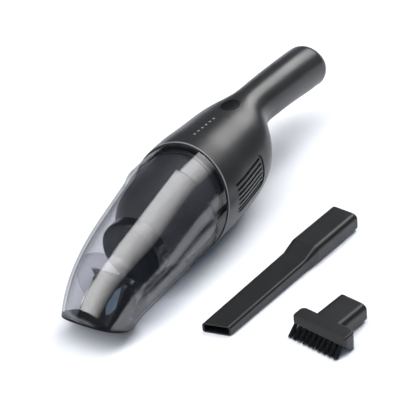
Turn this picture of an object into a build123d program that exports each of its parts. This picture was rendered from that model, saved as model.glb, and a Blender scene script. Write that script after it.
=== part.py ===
from build123d import *
from math import atan2, cos, degrees, pi, radians, sin, sqrt, tan
import os

os.makedirs("parts", exist_ok=True)

# A hand-held car vacuum cleaner with its crevice tool and brush tool, in millimetres.
# The long axis lies along Y with the nozzle towards -Y, and the whole set stands on Z = 0.
# The origin is the centre of the flat under the barrel.

# Shared clearances
running_gap = 0.3
close_gap = 0.15
slip_gap = 0.05
overrun = 5.0
inside_overrun = 0.6

# Barrel and handle
body_radius = 44.5
flat_depth = 0.5
housing_wall = 2.8
rim_setback = 25.0
rim_slant = 18.0
rim_chamfer = 0.8
barrel_front_blank = 26.0
taper_length = 96.0
handle_length = 107.0
neck_width = 36.4
neck_drop = 5.5
neck_height = 37.5
grip_width = 40.6
grip_drop = 15.9
grip_sag = 12.9
grip_end_round = 12.0
taper_place_shares = (0, 0.26, 0.50, 0.667, 0.8125, 1)
taper_width_shares = (0, 0.07, 0.152, 0.323, 0.80, 1)
taper_top_shares = (0, 0.27, 0.53, 0.73, 0.80, 1)
taper_bottom_shares = (0, 0.01, 0.087, 0.348, 0.79, 1)
grip_place_shares = (0.41, 0.69, 1)
grip_width_shares = (0.35, 0.65, 1)
grip_top_shares = (0.31, 0.58, 1)
grip_bottom_shares = (0.30, 0.66, 1)
grip_end_angles = (0, 22, 45, 67, 90)
housing_step_count = 18
skirt_wall = 2.6
skirt_end = 4.2

# Vents in each side of the barrel
vent_count = 6
vent_length = 43.0
vent_height = 2.2
vent_pitch = 4.3
vent_middle_place = 14.5
vent_rise = 2.5
vent_recess_depth = 0.8
vent_recess_margin = 2.8
vent_recess_corner = 6.0
foam_thickness = 2.6
foam_margin = 1.6
foam_start = -4.0

# Power button on the top centreline
button_place = 61.0
button_width = 15.0
button_length = 19.0
button_gap = 0.25
button_sink = 0.35
button_flange = 1.2
button_flange_thickness = 1.0
button_under_wall = 1.5
button_stem_radius = 2.2
button_stem_length = 1.0
pad_radius = 4.4
pad_height = 4.95
pad_wall = 0.9
pad_foot_gap = 0.05
pad_taper = 8.0
switch_width = 4.6
switch_height = 2.4
switch_pin_radius = 1.2
switch_pin_height = 0.5

# Charge lamps in a row ahead of the button
lamp_count = 6
lamp_pitch = 5.9
lamp_first_place = 5.0
lamp_radius = 1.0
lamp_sink = 0.1
lamp_strip_width = 5.0
lamp_strip_thickness = 1.4
lamp_strip_margin = 1.8
lamp_strip_drop = 0.25
lamp_board_thickness = 1.0
lamp_strip_corner = 1.5

# Circuit board under the button
board_width = 28.0
board_start = 42.0
board_length = 27.0
board_thickness = 1.2
board_post_radius = 2.0
board_post_x = 11.8
board_post_margin = 2.6
board_screw_radius = 0.8
board_screw_head_radius = 1.6
board_screw_head_height = 0.9
board_screw_length = 5.0
chip_width = 6.0
chip_length = 8.0
chip_thickness = 0.9
chip_pitch = 8.0
chip_place_share = 0.36
board_corner = 1.5

# Bulkhead between cup and machine, parallel to the rim
bulkhead_setback = 10.5
bulkhead_thickness = 3.0
bulkhead_gap = 0.2
inlet_radius = 13.0
inlet_wall = 1.6
inlet_hub_radius = 4.0
inlet_rib_count = 6
inlet_rib_width = 1.4
shroud_ring_length = 3.4
screw_inset = 2.5
screw_count = 4
screw_radius = 1.25
screw_head_radius = 2.3
screw_head_height = 1.6
screw_length = 8.0
boss_radius = 4.2
boss_length = 7.5

# Fan and its shroud
shroud_front = 0.6
shroud_wall = 1.5
shroud_eye_radius = 12.0
shroud_slot_count = 12
shroud_slot_length = 7.0
shroud_slot_share = 0.6
fan_inset = 15.5
fan_length = 10.0
fan_plate = 1.4
fan_hub_radius = 4.6
fan_blade_count = 9
fan_blade_thickness = 1.2
fan_blade_start = 10.0
fan_blade_lean = 38.0
fan_front_gap = 1.2
fan_side_gap = 2.2
fan_rear_gap = 1.2

# Motor
motor_radius = 14.0
motor_length = 30.0
motor_wall = 0.9
motor_front_wall = 1.2
motor_nose_radius = 5.0
shaft_radius = 1.15
bearing_radius = 3.2
bearing_length = 3.0
rotor_radius = 9.4
rotor_length = 13.0
rotor_front_gap = 4.0
rotor_slot_count = 5
rotor_slot_width = 2.0
rotor_slot_depth = 3.4
winding_radius = 7.6
winding_overhang = 2.2
commutator_radius = 3.4
commutator_length = 4.0
magnet_thickness = 2.9
magnet_gap_width = 8.0
endcap_thickness = 2.4
endcap_boss_length = 0.6
terminal_width = 2.2
terminal_thickness = 0.6
terminal_length = 4.0
terminal_spread = 8.0
motor_brush_width = 2.6
motor_brush_length = 3.0
motor_brush_height = 4.0
motor_screw_spread = 8.0
motor_screw_radius = 1.0
motor_screw_head_radius = 1.9
motor_screw_head_height = 0.7
motor_screw_length = 3.4
mount_ring_thickness = 2.4
mount_ring_length = 5.0
mount_ring_place = 38.0
mount_rib_length = 3.0
mount_rib_width = 5.0
mount_hoop = 2.0

# Battery cells in line through the neck and handle
cell_radius = 9.2
cell_length = 50.0
cell_gap = 1.2
cell_front_place = 80.0
cell_drop = 23.2
cell_slope = 5.2
cell_tip_radius = 3.0
cell_tip_length = 0.6
cell_edge_round = 0.6
cradle_wall = 1.4
cradle_end = 1.5
cradle_rib_places = (92.0, 131.0, 176.0)
cradle_rib_length = 2.0
contact_thickness = 0.3
contact_width = 7.0
contact_gap = 0.05
contact_rise = 3.0

# Charge port in the handle's end
port_width = 9.0
port_height = 3.2
port_length = 7.0
port_wall = 0.35
port_inset = 0.7
port_corner = 1.5
port_board_thickness = 1.0
port_board_width = 12.0
port_board_length = 8.4
port_tongue_height = 0.7
port_shelf_thickness = 1.4
port_shelf_length = 12.0
port_back_wall = 0.4
port_board_overlap = 4.0

# Underside cover of the handle
cover_width = 17.0
cover_start = 102.0
cover_end = 168.0
cover_corner = 4.0
cover_thickness = 2.35
cover_screw_margin = 6.5
cover_screw_radius = 1.2
cover_screw_head_radius = 2.2
cover_screw_head_height = 1.2
cover_screw_sink = 0.5
cover_screw_length = 5.4
cover_tongue_width = 8.0
cover_tongue_height = 3.4
cover_tongue_length = 15.0
cover_tongue_root = 4.0

# Dust cup
cup_rear_inset = 1.0
cup_rear_drop = 1.1
cup_rear_place = -41.0
cup_wall = 2.2
cup_lip_reach = 126.0
cup_sink = 0.4
cup_undercut = 39.0
mouth_width = 55.0
mouth_lip_height = 20.0
cup_bottom_shares = (0, 0.35, 0.70, 0.872, 1)
cup_top_shares = (0, 0.339, 0.661, 0.871, 1)
cup_top_drop_shares = (0, 0.171, 0.379, 0.629, 1)
cup_width_drop_shares = (0, 0.172, 0.425, 0.741, 1)
cup_front_bluntness = (2, 2, 2.1, 2.4, 3)
cup_point_count = 16
collar_step = 1.2
collar_drop = 0.4
collar_wall = 3.4
rim_gap = 0.3
spigot_length = 8.0
spigot_wall = 1.9
partition_place = -127.0
partition_thickness = 2.0

# Inlet duct and lip of the mouth
duct_width = 36.0
duct_height = 22.3
duct_corner = 7.0
duct_wall = 2.0
duct_slope = 30.0
duct_place = -129.0
duct_middle_height = 18.6
duct_rear_reach = 0.6
lip_thickness = 1.8
socket_rib_width = 1.6
socket_rib_start = 6.0
socket_rib_pitch = 14.0

# Seals
seal_thickness = 0.9
seal_depth = 2.4
seal_setback = 3.5

# Filter cartridge
filter_gap = 0.5
filter_plate_start = 0.6
filter_plate_thickness = 2.8
filter_bore_radius = 13.2
filter_seal_thickness = 1.0
filter_seat_depth = 1.3
filter_seat_thickness = 1.2
mesh_places = (-6.0, -20.0, -34.0, -48.0, -62.0, -76.0, -90.0)
mesh_insets = (1.6, 1.6, 1.7, 2.4, 4.5, 10.8, 15.5)
mesh_drops = (0, 0, 0.2, 0.7, 1.7, 3.4, 5.0)
mesh_wall = 0.7
mesh_seat = 1.8
cap_rim = 2.9
cap_drop = 5.0
cap_front_place = -98.0
cap_length = 10.5
cap_wall = 1.8
cap_edge_round = 2.4
pleat_count = 26
pleat_inner_radius = 14.2
pleat_gap = 3.9
pleat_thickness = 0.8
pleat_drop = 2.5
stem_radius = 4.2
stem_foot_radius = 6.2
stem_flare_share = 0.62
stem_start = -97.5
stem_start_height = 33.5
stem_end = -115.0
stem_end_height = 21.5

# Inlet flap
flap_thickness = 1.1
flap_gap = 0.2
flap_overlap = 0.9
flap_pin_radius = 0.8
flap_knuckle_radius = 1.8
flap_knuckle_gap = 0.1
flap_lug_thickness = 2.0
flap_lug_radius = 2.0

# Small shares and slots
screw_slot_width = 0.7
shaft_reach = 0.6
shaft_bevel_share = 0.25
bearing_bevel = 0.25
rotor_edge_drop = 0.6
commutator_slit_width = 0.4
commutator_slit_depth = 0.5

# Wires
wire_radius = 0.7
lead_bend = 1.4

# Connector of both tools
connector_width = 25.6
connector_height = 15.8
connector_corner = 4.6
connector_wall = 1.6
connector_gap = 0.2

# Crevice tool
crevice_x = 69.7
crevice_y = -114.9
crevice_lean = 8.6
crevice_length = 170.0
crevice_tip_width = 21.4
crevice_tip_height = 8.6
crevice_blade_width = 22.6
crevice_blade_height = 11.0
crevice_blade_length = 102.0
crevice_ramp_length = 14.0
crevice_tip_slant = 19.0
crevice_wall = 1.4
crevice_corner = 2.4

# Brush tool
brush_x = 154.4
brush_y = -90.8
brush_lean = 12.0
brush_half_width = 24.5
brush_depth = 12.5
brush_length = 40.5
brush_wall = 1.6
brush_front_drop = 6.0
brush_front_reach = 1.8
brush_face_angle = 43.0
brush_face_length = 12.0
brush_top_round = 1.6
brush_ear_round = 4.5
brush_slot_width = 34.0
brush_slot_depth = 4.0
brush_slot_place = 8.8
tuft_columns = 10
tuft_pitch = 4.6
tuft_row_places = (1.7, 4.6)
tuft_ring_counts = (1, 6, 11)
tuft_ring_shares = (0, 0.5, 1)
tuft_radius = 1.0
strand_size = 0.34
bristle_splay = 3.0
backing_thickness = 1.2
backing_margin = 0.6
tip_clear = 0.05

# Worked out from the sizes above
centre_height = body_radius - flat_depth
barrel_top = 2 * body_radius - flat_depth
neck_top = barrel_top - neck_drop
neck_bottom = neck_top - neck_height
grip_top = barrel_top - grip_drop
grip_bottom = neck_bottom - grip_sag
vent_middle_height = centre_height + vent_rise
cell_front_height = barrel_top - cell_drop
skirt_radius = body_radius - skirt_wall
screw_circle_radius = skirt_radius - screw_inset
fan_radius = body_radius - fan_inset
collar_radius = body_radius - collar_step
collar_height = centre_height - collar_drop
collar_inner_radius = collar_radius - collar_wall
cup_rear_width = 2 * (collar_radius - cup_rear_inset)
cup_rear_top = centre_height + collar_radius - cup_rear_drop
filter_radius = collar_inner_radius - filter_gap
mesh_radii = [filter_radius - inset for inset in mesh_insets]
mesh_heights = [centre_height - drop for drop in mesh_drops]
cap_radius = mesh_radii[-1] + cap_rim
cap_height = centre_height - cap_drop
pleat_outer_radius = mesh_radii[-1] - pleat_gap
pleat_height = centre_height - pleat_drop
handle_end = taper_length + handle_length
rim_plane = Plane(
    origin=(0, -rim_setback, centre_height),
    x_dir=(1, 0, 0),
    z_dir=(0, -cos(radians(rim_slant)), sin(radians(rim_slant))),
)
rim_reach = body_radius * tan(radians(rim_slant))
oval_point_count = 8


def oval_points(half_width, half_height):
    """Points round a closed oval, from its right side anticlockwise."""
    turns = [2 * pi * index / oval_point_count for index in range(oval_point_count)]
    return [(half_width * cos(turn), half_height * sin(turn)) for turn in turns]


def blunt_points(half_width, half_height, bluntness):
    """Points round a closed oval whose upper half is squarer; a bluntness of 2 is an ellipse."""
    points = []
    for index in range(cup_point_count):
        turn = 2 * pi * index / cup_point_count
        power = 2 / bluntness if 0 < turn < pi else 1
        across = half_width * abs(cos(turn)) ** power
        along = half_height * abs(sin(turn)) ** power
        points.append((across if cos(turn) > 0 else -across, along if sin(turn) > 0 else -along))
    return points


def upright_plane(place, height):
    """A plane square to the long axis that faces the nozzle, with Z as its up direction."""
    return Plane(origin=(0, place, height), x_dir=(1, 0, 0), z_dir=(0, -1, 0))


def blend(start, end, share):
    """The value that lies the given share of the way from start to end."""
    return start + (end - start) * share


def housing_stations():
    """Place, width, top and bottom of each main section along the barrel and handle."""
    full_width = 2 * body_radius
    stations = [(-rim_setback - barrel_front_blank, full_width, barrel_top, -flat_depth)]
    shares = zip(taper_place_shares, taper_width_shares, taper_top_shares, taper_bottom_shares)
    for place, width, top, bottom in shares:
        stations.append(
            (
                taper_length * place,
                blend(full_width, neck_width, width),
                blend(barrel_top, neck_top, top),
                blend(-flat_depth, neck_bottom, bottom),
            )
        )
    shares = zip(grip_place_shares, grip_width_shares, grip_top_shares, grip_bottom_shares)
    for place, width, top, bottom in shares:
        stations.append(
            (
                taper_length + handle_length * place,
                blend(neck_width, grip_width, width),
                blend(neck_top, grip_top, top),
                blend(neck_bottom, grip_bottom, bottom),
            )
        )
    return stations


def smooth_value(place, places, values):
    """A smooth value at a place, through the given values, that never overshoots them."""
    slopes = [
        (far - near) / (places[index + 1] - places[index])
        for index, (near, far) in enumerate(zip(values, values[1:]))
    ]
    knots = [slopes[0]]
    for low, high in zip(slopes, slopes[1:]):
        knots.append(2 * low * high / (low + high) if low * high > 0 else 0)
    knots.append(slopes[-1])
    index = max(step for step in range(len(slopes)) if places[step] <= place or step == 0)
    span = places[index + 1] - places[index]
    share = (place - places[index]) / span
    rise = values[index + 1] - values[index]
    start_bend = knots[index] * span - rise
    end_bend = rise - knots[index + 1] * span
    bend = share * (1 - share) * ((1 - share) * start_bend + share * end_bend)
    return values[index] + share * rise + bend


def housing_section(place):
    """Width, top and bottom of the barrel or handle at a place along the long axis."""
    places, *sizes = zip(*housing_stations())
    return [smooth_value(place, places, values) for values in sizes]


def housing_oval(place, inset):
    """The oval section of the housing at a place, drawn in by inset."""
    width, top, bottom = housing_section(place)
    with BuildSketch(upright_plane(place, (top + bottom) / 2)) as oval:
        with BuildLine():
            Spline(
                *oval_points(width / 2 - inset, (top - bottom) / 2 - inset),
                periodic=True,
            )
        make_face()
    return oval.sketch


def housing_form(inset):
    """The closed body under the housing's outer surface, drawn in by inset."""
    start = -rim_setback - barrel_front_blank
    stop = handle_end - grip_end_round
    end_round = grip_end_round - inset
    steps = range(housing_step_count + 1)
    angles = [radians(angle) for angle in grip_end_angles]
    with BuildPart() as form:
        loft([housing_oval(blend(start, stop, step / housing_step_count), inset) for step in steps])
        loft(
            [
                housing_oval(
                    stop + end_round * sin(angle), inset + end_round * (1 - cos(angle))
                )
                for angle in angles
            ]
        )
    return form.part


def drum(radius, front, back, height=centre_height):
    """A solid cylinder along the long axis from front to back."""
    with BuildPart() as form:
        with BuildSketch(upright_plane(back, height)):
            Circle(radius)
        extrude(amount=back - front)
    return form.part


def slanted_ring(outer_radius, inner_radius, front_offset, back_offset, bore_drop=0):
    """A ring round the long axis between two planes parallel to the rim; offsets run forward."""
    with BuildPart() as ring:
        with BuildSketch(upright_plane(rim_reach, centre_height)):
            Circle(outer_radius)
            with Locations((0, -bore_drop)):
                Circle(inner_radius, mode=Mode.SUBTRACT)
        extrude(amount=rim_setback + 3 * rim_reach)
        split(bisect_by=rim_plane.offset(front_offset), keep=Keep.BOTTOM)
        split(bisect_by=rim_plane.offset(back_offset), keep=Keep.TOP)
    return ring.part


def save(builder, label):
    """Names a finished piece and writes its file."""
    builder.part.label = label
    export_step(builder.part, f"parts/{label}.step")


outer_form = housing_form(0)
inner_form = housing_form(housing_wall)

# Vent outlines, shared by the recess, the slots and the foam
vent_field_height = (vent_count - 1) * vent_pitch + vent_height
vent_plane = Plane(
    origin=(0, vent_middle_place, vent_middle_height), x_dir=(0, 1, 0), z_dir=(1, 0, 0)
)

with BuildPart() as vent_recess:
    with BuildSketch(vent_plane):
        RectangleRounded(
            vent_length + 2 * vent_recess_margin,
            vent_field_height + 2 * vent_recess_margin,
            vent_recess_corner,
        )
    extrude(amount=body_radius + overrun, both=True)
    add(housing_form(vent_recess_depth), mode=Mode.SUBTRACT)

# Places of the machine pieces along the long axis
shroud_outer_radius = fan_radius + fan_side_gap + shroud_wall
fan_front = shroud_front + shroud_wall + fan_front_gap
fan_back = fan_front + fan_length
shroud_back = fan_back + fan_rear_gap + shroud_wall
motor_front = shroud_back
motor_back = motor_front + motor_length

# Heights of the pieces under the button
button_top_height = housing_section(button_place)[1]
button_rear_height = housing_section(button_place + button_length / 2)[1]
flange_top = button_rear_height - housing_wall - button_under_wall
flange_bottom = flange_top - button_flange_thickness
board_top = flange_bottom - button_stem_length - pad_foot_gap - pad_height
board_bottom = board_top - board_thickness
board_end = board_start + board_length
board_post_places = (board_start + board_post_margin, board_end - board_post_margin)
board_post_points = [(x, y) for x in (-board_post_x, board_post_x) for y in board_post_places]

# Lamp row
lamp_places = [lamp_first_place + index * lamp_pitch for index in range(lamp_count)]
lamp_middle = (lamp_places[0] + lamp_places[-1]) / 2
lamp_strip_length = lamp_places[-1] - lamp_places[0] + 2 * lamp_strip_margin
lamp_front_height = housing_section(lamp_middle - lamp_strip_length / 2)[1]
lamp_rear_height = housing_section(lamp_middle + lamp_strip_length / 2)[1]
lamp_slope = degrees(atan2(lamp_rear_height - lamp_front_height, lamp_strip_length))
lamp_wall_height = (lamp_front_height + lamp_rear_height) / 2 - housing_wall
lamp_lead_height = lamp_rear_height - housing_wall - lamp_strip_drop - lamp_strip_thickness
lamp_plane = Plane(
    origin=(0, lamp_middle, lamp_wall_height - lamp_strip_drop),
    x_dir=(1, 0, 0),
    z_dir=(0, -sin(radians(lamp_slope)), cos(radians(lamp_slope))),
)

# Handle cover
cover_length = cover_end - cover_start
cover_middle = (cover_start + cover_end) / 2
cover_plane_height = sum(housing_section(cover_middle)[1:]) / 2
cover_plane = Plane(origin=(0, cover_middle, cover_plane_height), x_dir=(1, 0, 0), z_dir=(0, 0, 1))
cover_screw_places = (cover_start + cover_screw_margin, cover_end - cover_screw_margin)

# Battery axis
cell_plane = Plane(
    origin=(0, cell_front_place, cell_front_height),
    x_dir=(1, 0, 0),
    z_dir=(0, cos(radians(cell_slope)), -sin(radians(cell_slope))),
)
cells_length = 2 * cell_length + cell_gap + cell_tip_length

# Charge port
port_height_middle = sum(housing_section(handle_end)[1:]) / 2
port_front = handle_end - port_inset - port_length
port_plane = Plane(
    origin=(0, handle_end - port_inset, port_height_middle), x_dir=(-1, 0, 0), z_dir=(0, 1, 0)
)
port_board_top = port_height_middle - port_height / 2

# Bulkhead screws, centred on the barrel's axis where their bosses start
screw_depth = bulkhead_setback + bulkhead_thickness
screw_angles = [radians((index + 0.5) * 360 / screw_count) for index in range(screw_count)]
screw_points = [
    (
        screw_circle_radius * cos(angle),
        screw_circle_radius * sin(angle) + screw_depth * tan(radians(rim_slant)),
    )
    for angle in screw_angles
]

# Tools that shape the housing
rim_stretch = 1 / cos(radians(rim_slant))
with BuildPart() as bevel_core:
    for depth in (0, rim_chamfer + inside_overrun):
        with BuildSketch(rim_plane.offset(-depth)):
            with Locations((0, depth * tan(radians(rim_slant)))):
                Ellipse(
                    body_radius - rim_chamfer + depth,
                    (body_radius - rim_chamfer + depth) * rim_stretch,
                )
    loft(ruled=True)

with BuildPart() as bevel:
    with BuildSketch(rim_plane):
        Circle(body_radius + overrun)
    extrude(amount=-rim_chamfer - inside_overrun / 2)
    add(bevel_core.part, mode=Mode.SUBTRACT)

tongue_sides = list(zip(cover_screw_places, (-1, 1)))
root_length = (cover_tongue_length + cover_tongue_root) / 2 - cover_screw_margin
with BuildPart() as tongue_roots:
    for place, side in tongue_sides:
        with BuildSketch(Plane.XY.offset(housing_section(place)[2])):
            with Locations((0, place + side * (cover_screw_margin + root_length / 2))):
                Rectangle(cover_tongue_width, root_length)
        extrude(amount=housing_wall + cover_tongue_height)
    add(outer_form, mode=Mode.INTERSECT)

with BuildPart() as cover_tongues:
    for place, side in tongue_sides:
        with BuildSketch(Plane.XY.offset(housing_section(place)[2])):
            with Locations((0, place + side * cover_tongue_root / 2)):
                Rectangle(cover_tongue_width, cover_tongue_length)
        extrude(amount=housing_wall + cover_tongue_height)
    add(inner_form, mode=Mode.INTERSECT)
    add(tongue_roots.part)

with BuildPart() as bulkhead_bosses:
    with BuildSketch(rim_plane.offset(-bulkhead_setback - bulkhead_thickness)):
        with Locations(screw_points):
            Circle(boss_radius)
    extrude(amount=-boss_length)
    add(outer_form, mode=Mode.INTERSECT)
    add(
        drum(shroud_outer_radius + 2 * close_gap + inlet_wall, -rim_setback, shroud_back),
        mode=Mode.SUBTRACT,
    )

with BuildPart() as board_posts:
    with BuildSketch(Plane.XY.offset(board_top)):
        with Locations(board_post_points):
            Circle(board_post_radius)
    extrude(amount=button_top_height - board_top)
    add(outer_form, mode=Mode.INTERSECT)

hoop_radius = motor_radius + mount_ring_thickness + 2 * slip_gap
with BuildPart() as motor_hoop:
    with BuildSketch(upright_plane(mount_ring_place + mount_rib_length, centre_height)):
        Circle(hoop_radius + mount_hoop)
        with PolarLocations(body_radius / 2, 3, start_angle=30):
            Rectangle(body_radius, mount_rib_width)
        Circle(hoop_radius, mode=Mode.SUBTRACT)
    extrude(amount=mount_rib_length)
    add(outer_form, mode=Mode.INTERSECT)

# Housing: barrel and handle in one shell
with BuildPart() as housing_shell:
    add(outer_form)
    split(bisect_by=rim_plane, keep=Keep.BOTTOM)
    add(bevel.part, mode=Mode.SUBTRACT)
    add(vent_recess.part, mode=Mode.SUBTRACT)
    add(inner_form, mode=Mode.SUBTRACT)
    # Round bore that takes the cup's spigot
    with BuildSketch(upright_plane(skirt_end, centre_height)):
        Circle(skirt_radius)
    extrude(amount=rim_setback + rim_reach + overrun, mode=Mode.SUBTRACT)
    # Handle cover opening
    with BuildSketch(cover_plane):
        RectangleRounded(cover_width, cover_length, cover_corner)
    extrude(amount=-cover_plane_height, mode=Mode.SUBTRACT)
    # Pieces that stand on the inside of the wall
    add([cover_tongues.part, bulkhead_bosses.part, board_posts.part, motor_hoop.part])
    # Flat under the barrel
    with BuildSketch(Plane.XY):
        Rectangle(2 * body_radius, 4 * body_radius)
    extrude(amount=-overrun, mode=Mode.SUBTRACT)
    # Vent slots
    with BuildSketch(vent_plane):
        with GridLocations(vent_length, vent_pitch, 1, vent_count):
            SlotOverall(vent_length, vent_height)
    extrude(amount=body_radius + overrun, both=True, mode=Mode.SUBTRACT)
    # Button opening and lamp holes
    with BuildSketch(Plane.XY.offset(flange_top)):
        with Locations((0, button_place)):
            Ellipse(button_width / 2 + button_gap, button_length / 2 + button_gap)
        with Locations([(0, place) for place in lamp_places]):
            Circle(lamp_radius + slip_gap)
    extrude(amount=body_radius, mode=Mode.SUBTRACT)
    # Charge port opening
    with BuildSketch(port_plane):
        RectangleRounded(
            port_width + 2 * close_gap, port_height + 2 * close_gap, port_corner + close_gap
        )
    extrude(amount=housing_wall, both=True, mode=Mode.SUBTRACT)
    # Screw holes
    for place in cover_screw_places:
        with BuildSketch(Plane.XY.offset(housing_section(place)[2])):
            with Locations((0, place)):
                Circle(cover_screw_radius)
        extrude(amount=cover_screw_length + cover_screw_sink, mode=Mode.SUBTRACT)
    with BuildSketch(rim_plane.offset(-bulkhead_setback)):
        with Locations(screw_points):
            Circle(screw_radius)
    extrude(amount=-screw_length - inside_overrun, mode=Mode.SUBTRACT)
    with BuildSketch(Plane.XY.offset(board_top)):
        with Locations(board_post_points):
            Circle(board_screw_radius)
    extrude(amount=board_screw_length, mode=Mode.SUBTRACT)
save(housing_shell, "housing_shell")

# Underside cover of the handle, with its screws
with BuildPart() as handle_cover:
    with BuildSketch(cover_plane):
        RectangleRounded(
            cover_width - 2 * close_gap, cover_length - 2 * close_gap, cover_corner - close_gap
        )
    extrude(amount=-cover_plane_height)
    add(outer_form, mode=Mode.INTERSECT)
    add(housing_form(cover_thickness), mode=Mode.SUBTRACT)
    for place in cover_screw_places:
        head_seat = housing_section(place)[2] + cover_screw_sink + cover_screw_head_height
        with BuildSketch(Plane.XY.offset(head_seat)):
            with Locations((0, place)):
                Circle(cover_screw_head_radius + slip_gap)
        extrude(amount=-head_seat, mode=Mode.SUBTRACT)
        with BuildSketch(Plane.XY.offset(head_seat)):
            with Locations((0, place)):
                Circle(cover_screw_radius + slip_gap)
        extrude(amount=cover_screw_length, mode=Mode.SUBTRACT)
save(handle_cover, "handle_cover")

with BuildPart() as cover_screws:
    for place in cover_screw_places:
        head_base = housing_section(place)[2] + cover_screw_sink
        with BuildSketch(Plane.XY.offset(head_base)):
            with Locations((0, place)):
                Circle(cover_screw_head_radius)
                Rectangle(cover_screw_radius * 2, screw_slot_width, mode=Mode.SUBTRACT)
        extrude(amount=cover_screw_head_height / 2)
        with BuildSketch(Plane.XY.offset(head_base + cover_screw_head_height / 2)):
            with Locations((0, place)):
                Circle(cover_screw_head_radius)
        extrude(amount=cover_screw_head_height / 2)
        with BuildSketch(Plane.XY.offset(head_base + cover_screw_head_height)):
            with Locations((0, place)):
                Circle(cover_screw_radius - slip_gap)
        extrude(amount=cover_screw_length - cover_screw_head_height - cover_screw_sink)
save(cover_screws, "cover_screws")

# Bulkhead with the air inlet grille
bulkhead_front = rim_plane.offset(-bulkhead_setback)
bulkhead_back = rim_plane.offset(-bulkhead_setback - bulkhead_thickness)
with BuildPart() as bulkhead:
    add(
        slanted_ring(
            skirt_radius - bulkhead_gap,
            inlet_radius,
            -bulkhead_setback,
            -bulkhead_setback - bulkhead_thickness,
        )
    )
    # Neck that reaches the shroud's eye, and the ring that carries the shroud
    with BuildSketch(upright_plane(shroud_front - slip_gap, centre_height)):
        Circle(inlet_radius + inlet_wall)
        Circle(inlet_radius, mode=Mode.SUBTRACT)
    extrude(amount=rim_setback, mode=Mode.ADD)
    with BuildSketch(upright_plane(shroud_front + shroud_ring_length, centre_height)):
        Circle(shroud_outer_radius + close_gap + inlet_wall)
        Circle(shroud_outer_radius + close_gap, mode=Mode.SUBTRACT)
    extrude(amount=rim_setback + shroud_ring_length, mode=Mode.ADD)
    split(bisect_by=bulkhead_front, keep=Keep.BOTTOM)
    # Grille in the inlet
    with BuildSketch(bulkhead_front):
        Circle(inlet_hub_radius)
        with PolarLocations(inlet_radius / 2 + inlet_wall / 2, inlet_rib_count):
            Rectangle(inlet_radius + inlet_wall, inlet_rib_width)
    extrude(amount=-bulkhead_thickness)
    # Screw holes with seats for their heads
    with BuildSketch(bulkhead_front):
        with Locations(screw_points):
            Circle(screw_radius + slip_gap)
    extrude(amount=-bulkhead_thickness - overrun, mode=Mode.SUBTRACT)
save(bulkhead, "bulkhead")

with BuildPart() as bulkhead_screws:
    with BuildSketch(bulkhead_front):
        with Locations(screw_points):
            Circle(screw_head_radius)
    extrude(amount=screw_head_height)
    with BuildSketch(bulkhead_front.offset(screw_head_height)):
        with Locations(screw_points):
            Rectangle(screw_radius * 2, screw_slot_width)
    extrude(amount=-screw_head_height / 2, mode=Mode.SUBTRACT)
    with BuildSketch(bulkhead_front):
        with Locations(screw_points):
            Circle(screw_radius - slip_gap)
    extrude(amount=-screw_length)
save(bulkhead_screws, "bulkhead_screws")

# Foam behind the vents, a curved strip on each side
foam_height = vent_field_height + 2 * foam_margin
foam_end = vent_middle_place + vent_length / 2 + foam_margin
with BuildPart() as exhaust_foam:
    with BuildSketch(vent_plane.offset(-vent_plane.origin.X)):
        with Locations(((foam_start + foam_end) / 2 - vent_middle_place, 0)):
            Rectangle(foam_end - foam_start, foam_height)
    extrude(amount=body_radius, both=True)
    add(housing_form(housing_wall + slip_gap), mode=Mode.INTERSECT)
    add(housing_form(housing_wall + slip_gap + foam_thickness), mode=Mode.SUBTRACT)
save(exhaust_foam, "exhaust_foam")

# Fan shroud
with BuildPart() as fan_shroud:
    add(drum(shroud_outer_radius, shroud_front, shroud_back))
    add(
        drum(
            shroud_outer_radius - shroud_wall,
            shroud_front + shroud_wall,
            shroud_back - shroud_wall,
        ),
        mode=Mode.SUBTRACT,
    )
    add(drum(shroud_eye_radius, shroud_front - overrun, fan_front), mode=Mode.SUBTRACT)
    add(drum(motor_nose_radius + slip_gap, fan_back, shroud_back + overrun), mode=Mode.SUBTRACT)
    # Slots that let the air out to the side
    slot_width = shroud_slot_share * 2 * pi * shroud_outer_radius / shroud_slot_count
    with BuildSketch(upright_plane(shroud_back - shroud_wall, centre_height)):
        with PolarLocations(shroud_outer_radius, shroud_slot_count):
            Rectangle(4 * shroud_wall, slot_width)
    extrude(amount=shroud_slot_length, mode=Mode.SUBTRACT)
    # Holes for the motor screws
    with BuildSketch(upright_plane(shroud_back, centre_height)):
        with Locations((0, motor_screw_spread), (0, -motor_screw_spread)):
            Circle(motor_screw_radius + slip_gap)
    extrude(amount=shroud_wall, mode=Mode.SUBTRACT)
save(fan_shroud, "fan_shroud")

# Fan: back plate, hub and leaning blades
with BuildPart() as fan:
    add(drum(fan_radius, fan_back - fan_plate, fan_back))
    with BuildSketch(upright_plane(fan_back - fan_plate, centre_height)):
        with PolarLocations((fan_blade_start + fan_radius) / 2, fan_blade_count):
            Rectangle(fan_radius - fan_blade_start, fan_blade_thickness, rotation=fan_blade_lean)
    extrude(amount=fan_length - fan_plate)
    add(drum(fan_radius, fan_front, fan_back), mode=Mode.INTERSECT)
    add(drum(fan_hub_radius, fan_front, fan_back))
    add(drum(shaft_radius, fan_front - overrun, fan_back + overrun), mode=Mode.SUBTRACT)
save(fan, "fan")

# Motor shaft
endcap_front = motor_back - endcap_thickness
shaft_back = motor_back + endcap_boss_length + shaft_reach
with BuildPart() as motor_shaft:
    add(drum(shaft_radius, fan_front - shaft_reach, shaft_back))
    chamfer(motor_shaft.edges().filter_by(GeomType.CIRCLE), shaft_radius * shaft_bevel_share)
save(motor_shaft, "motor_shaft")

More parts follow.
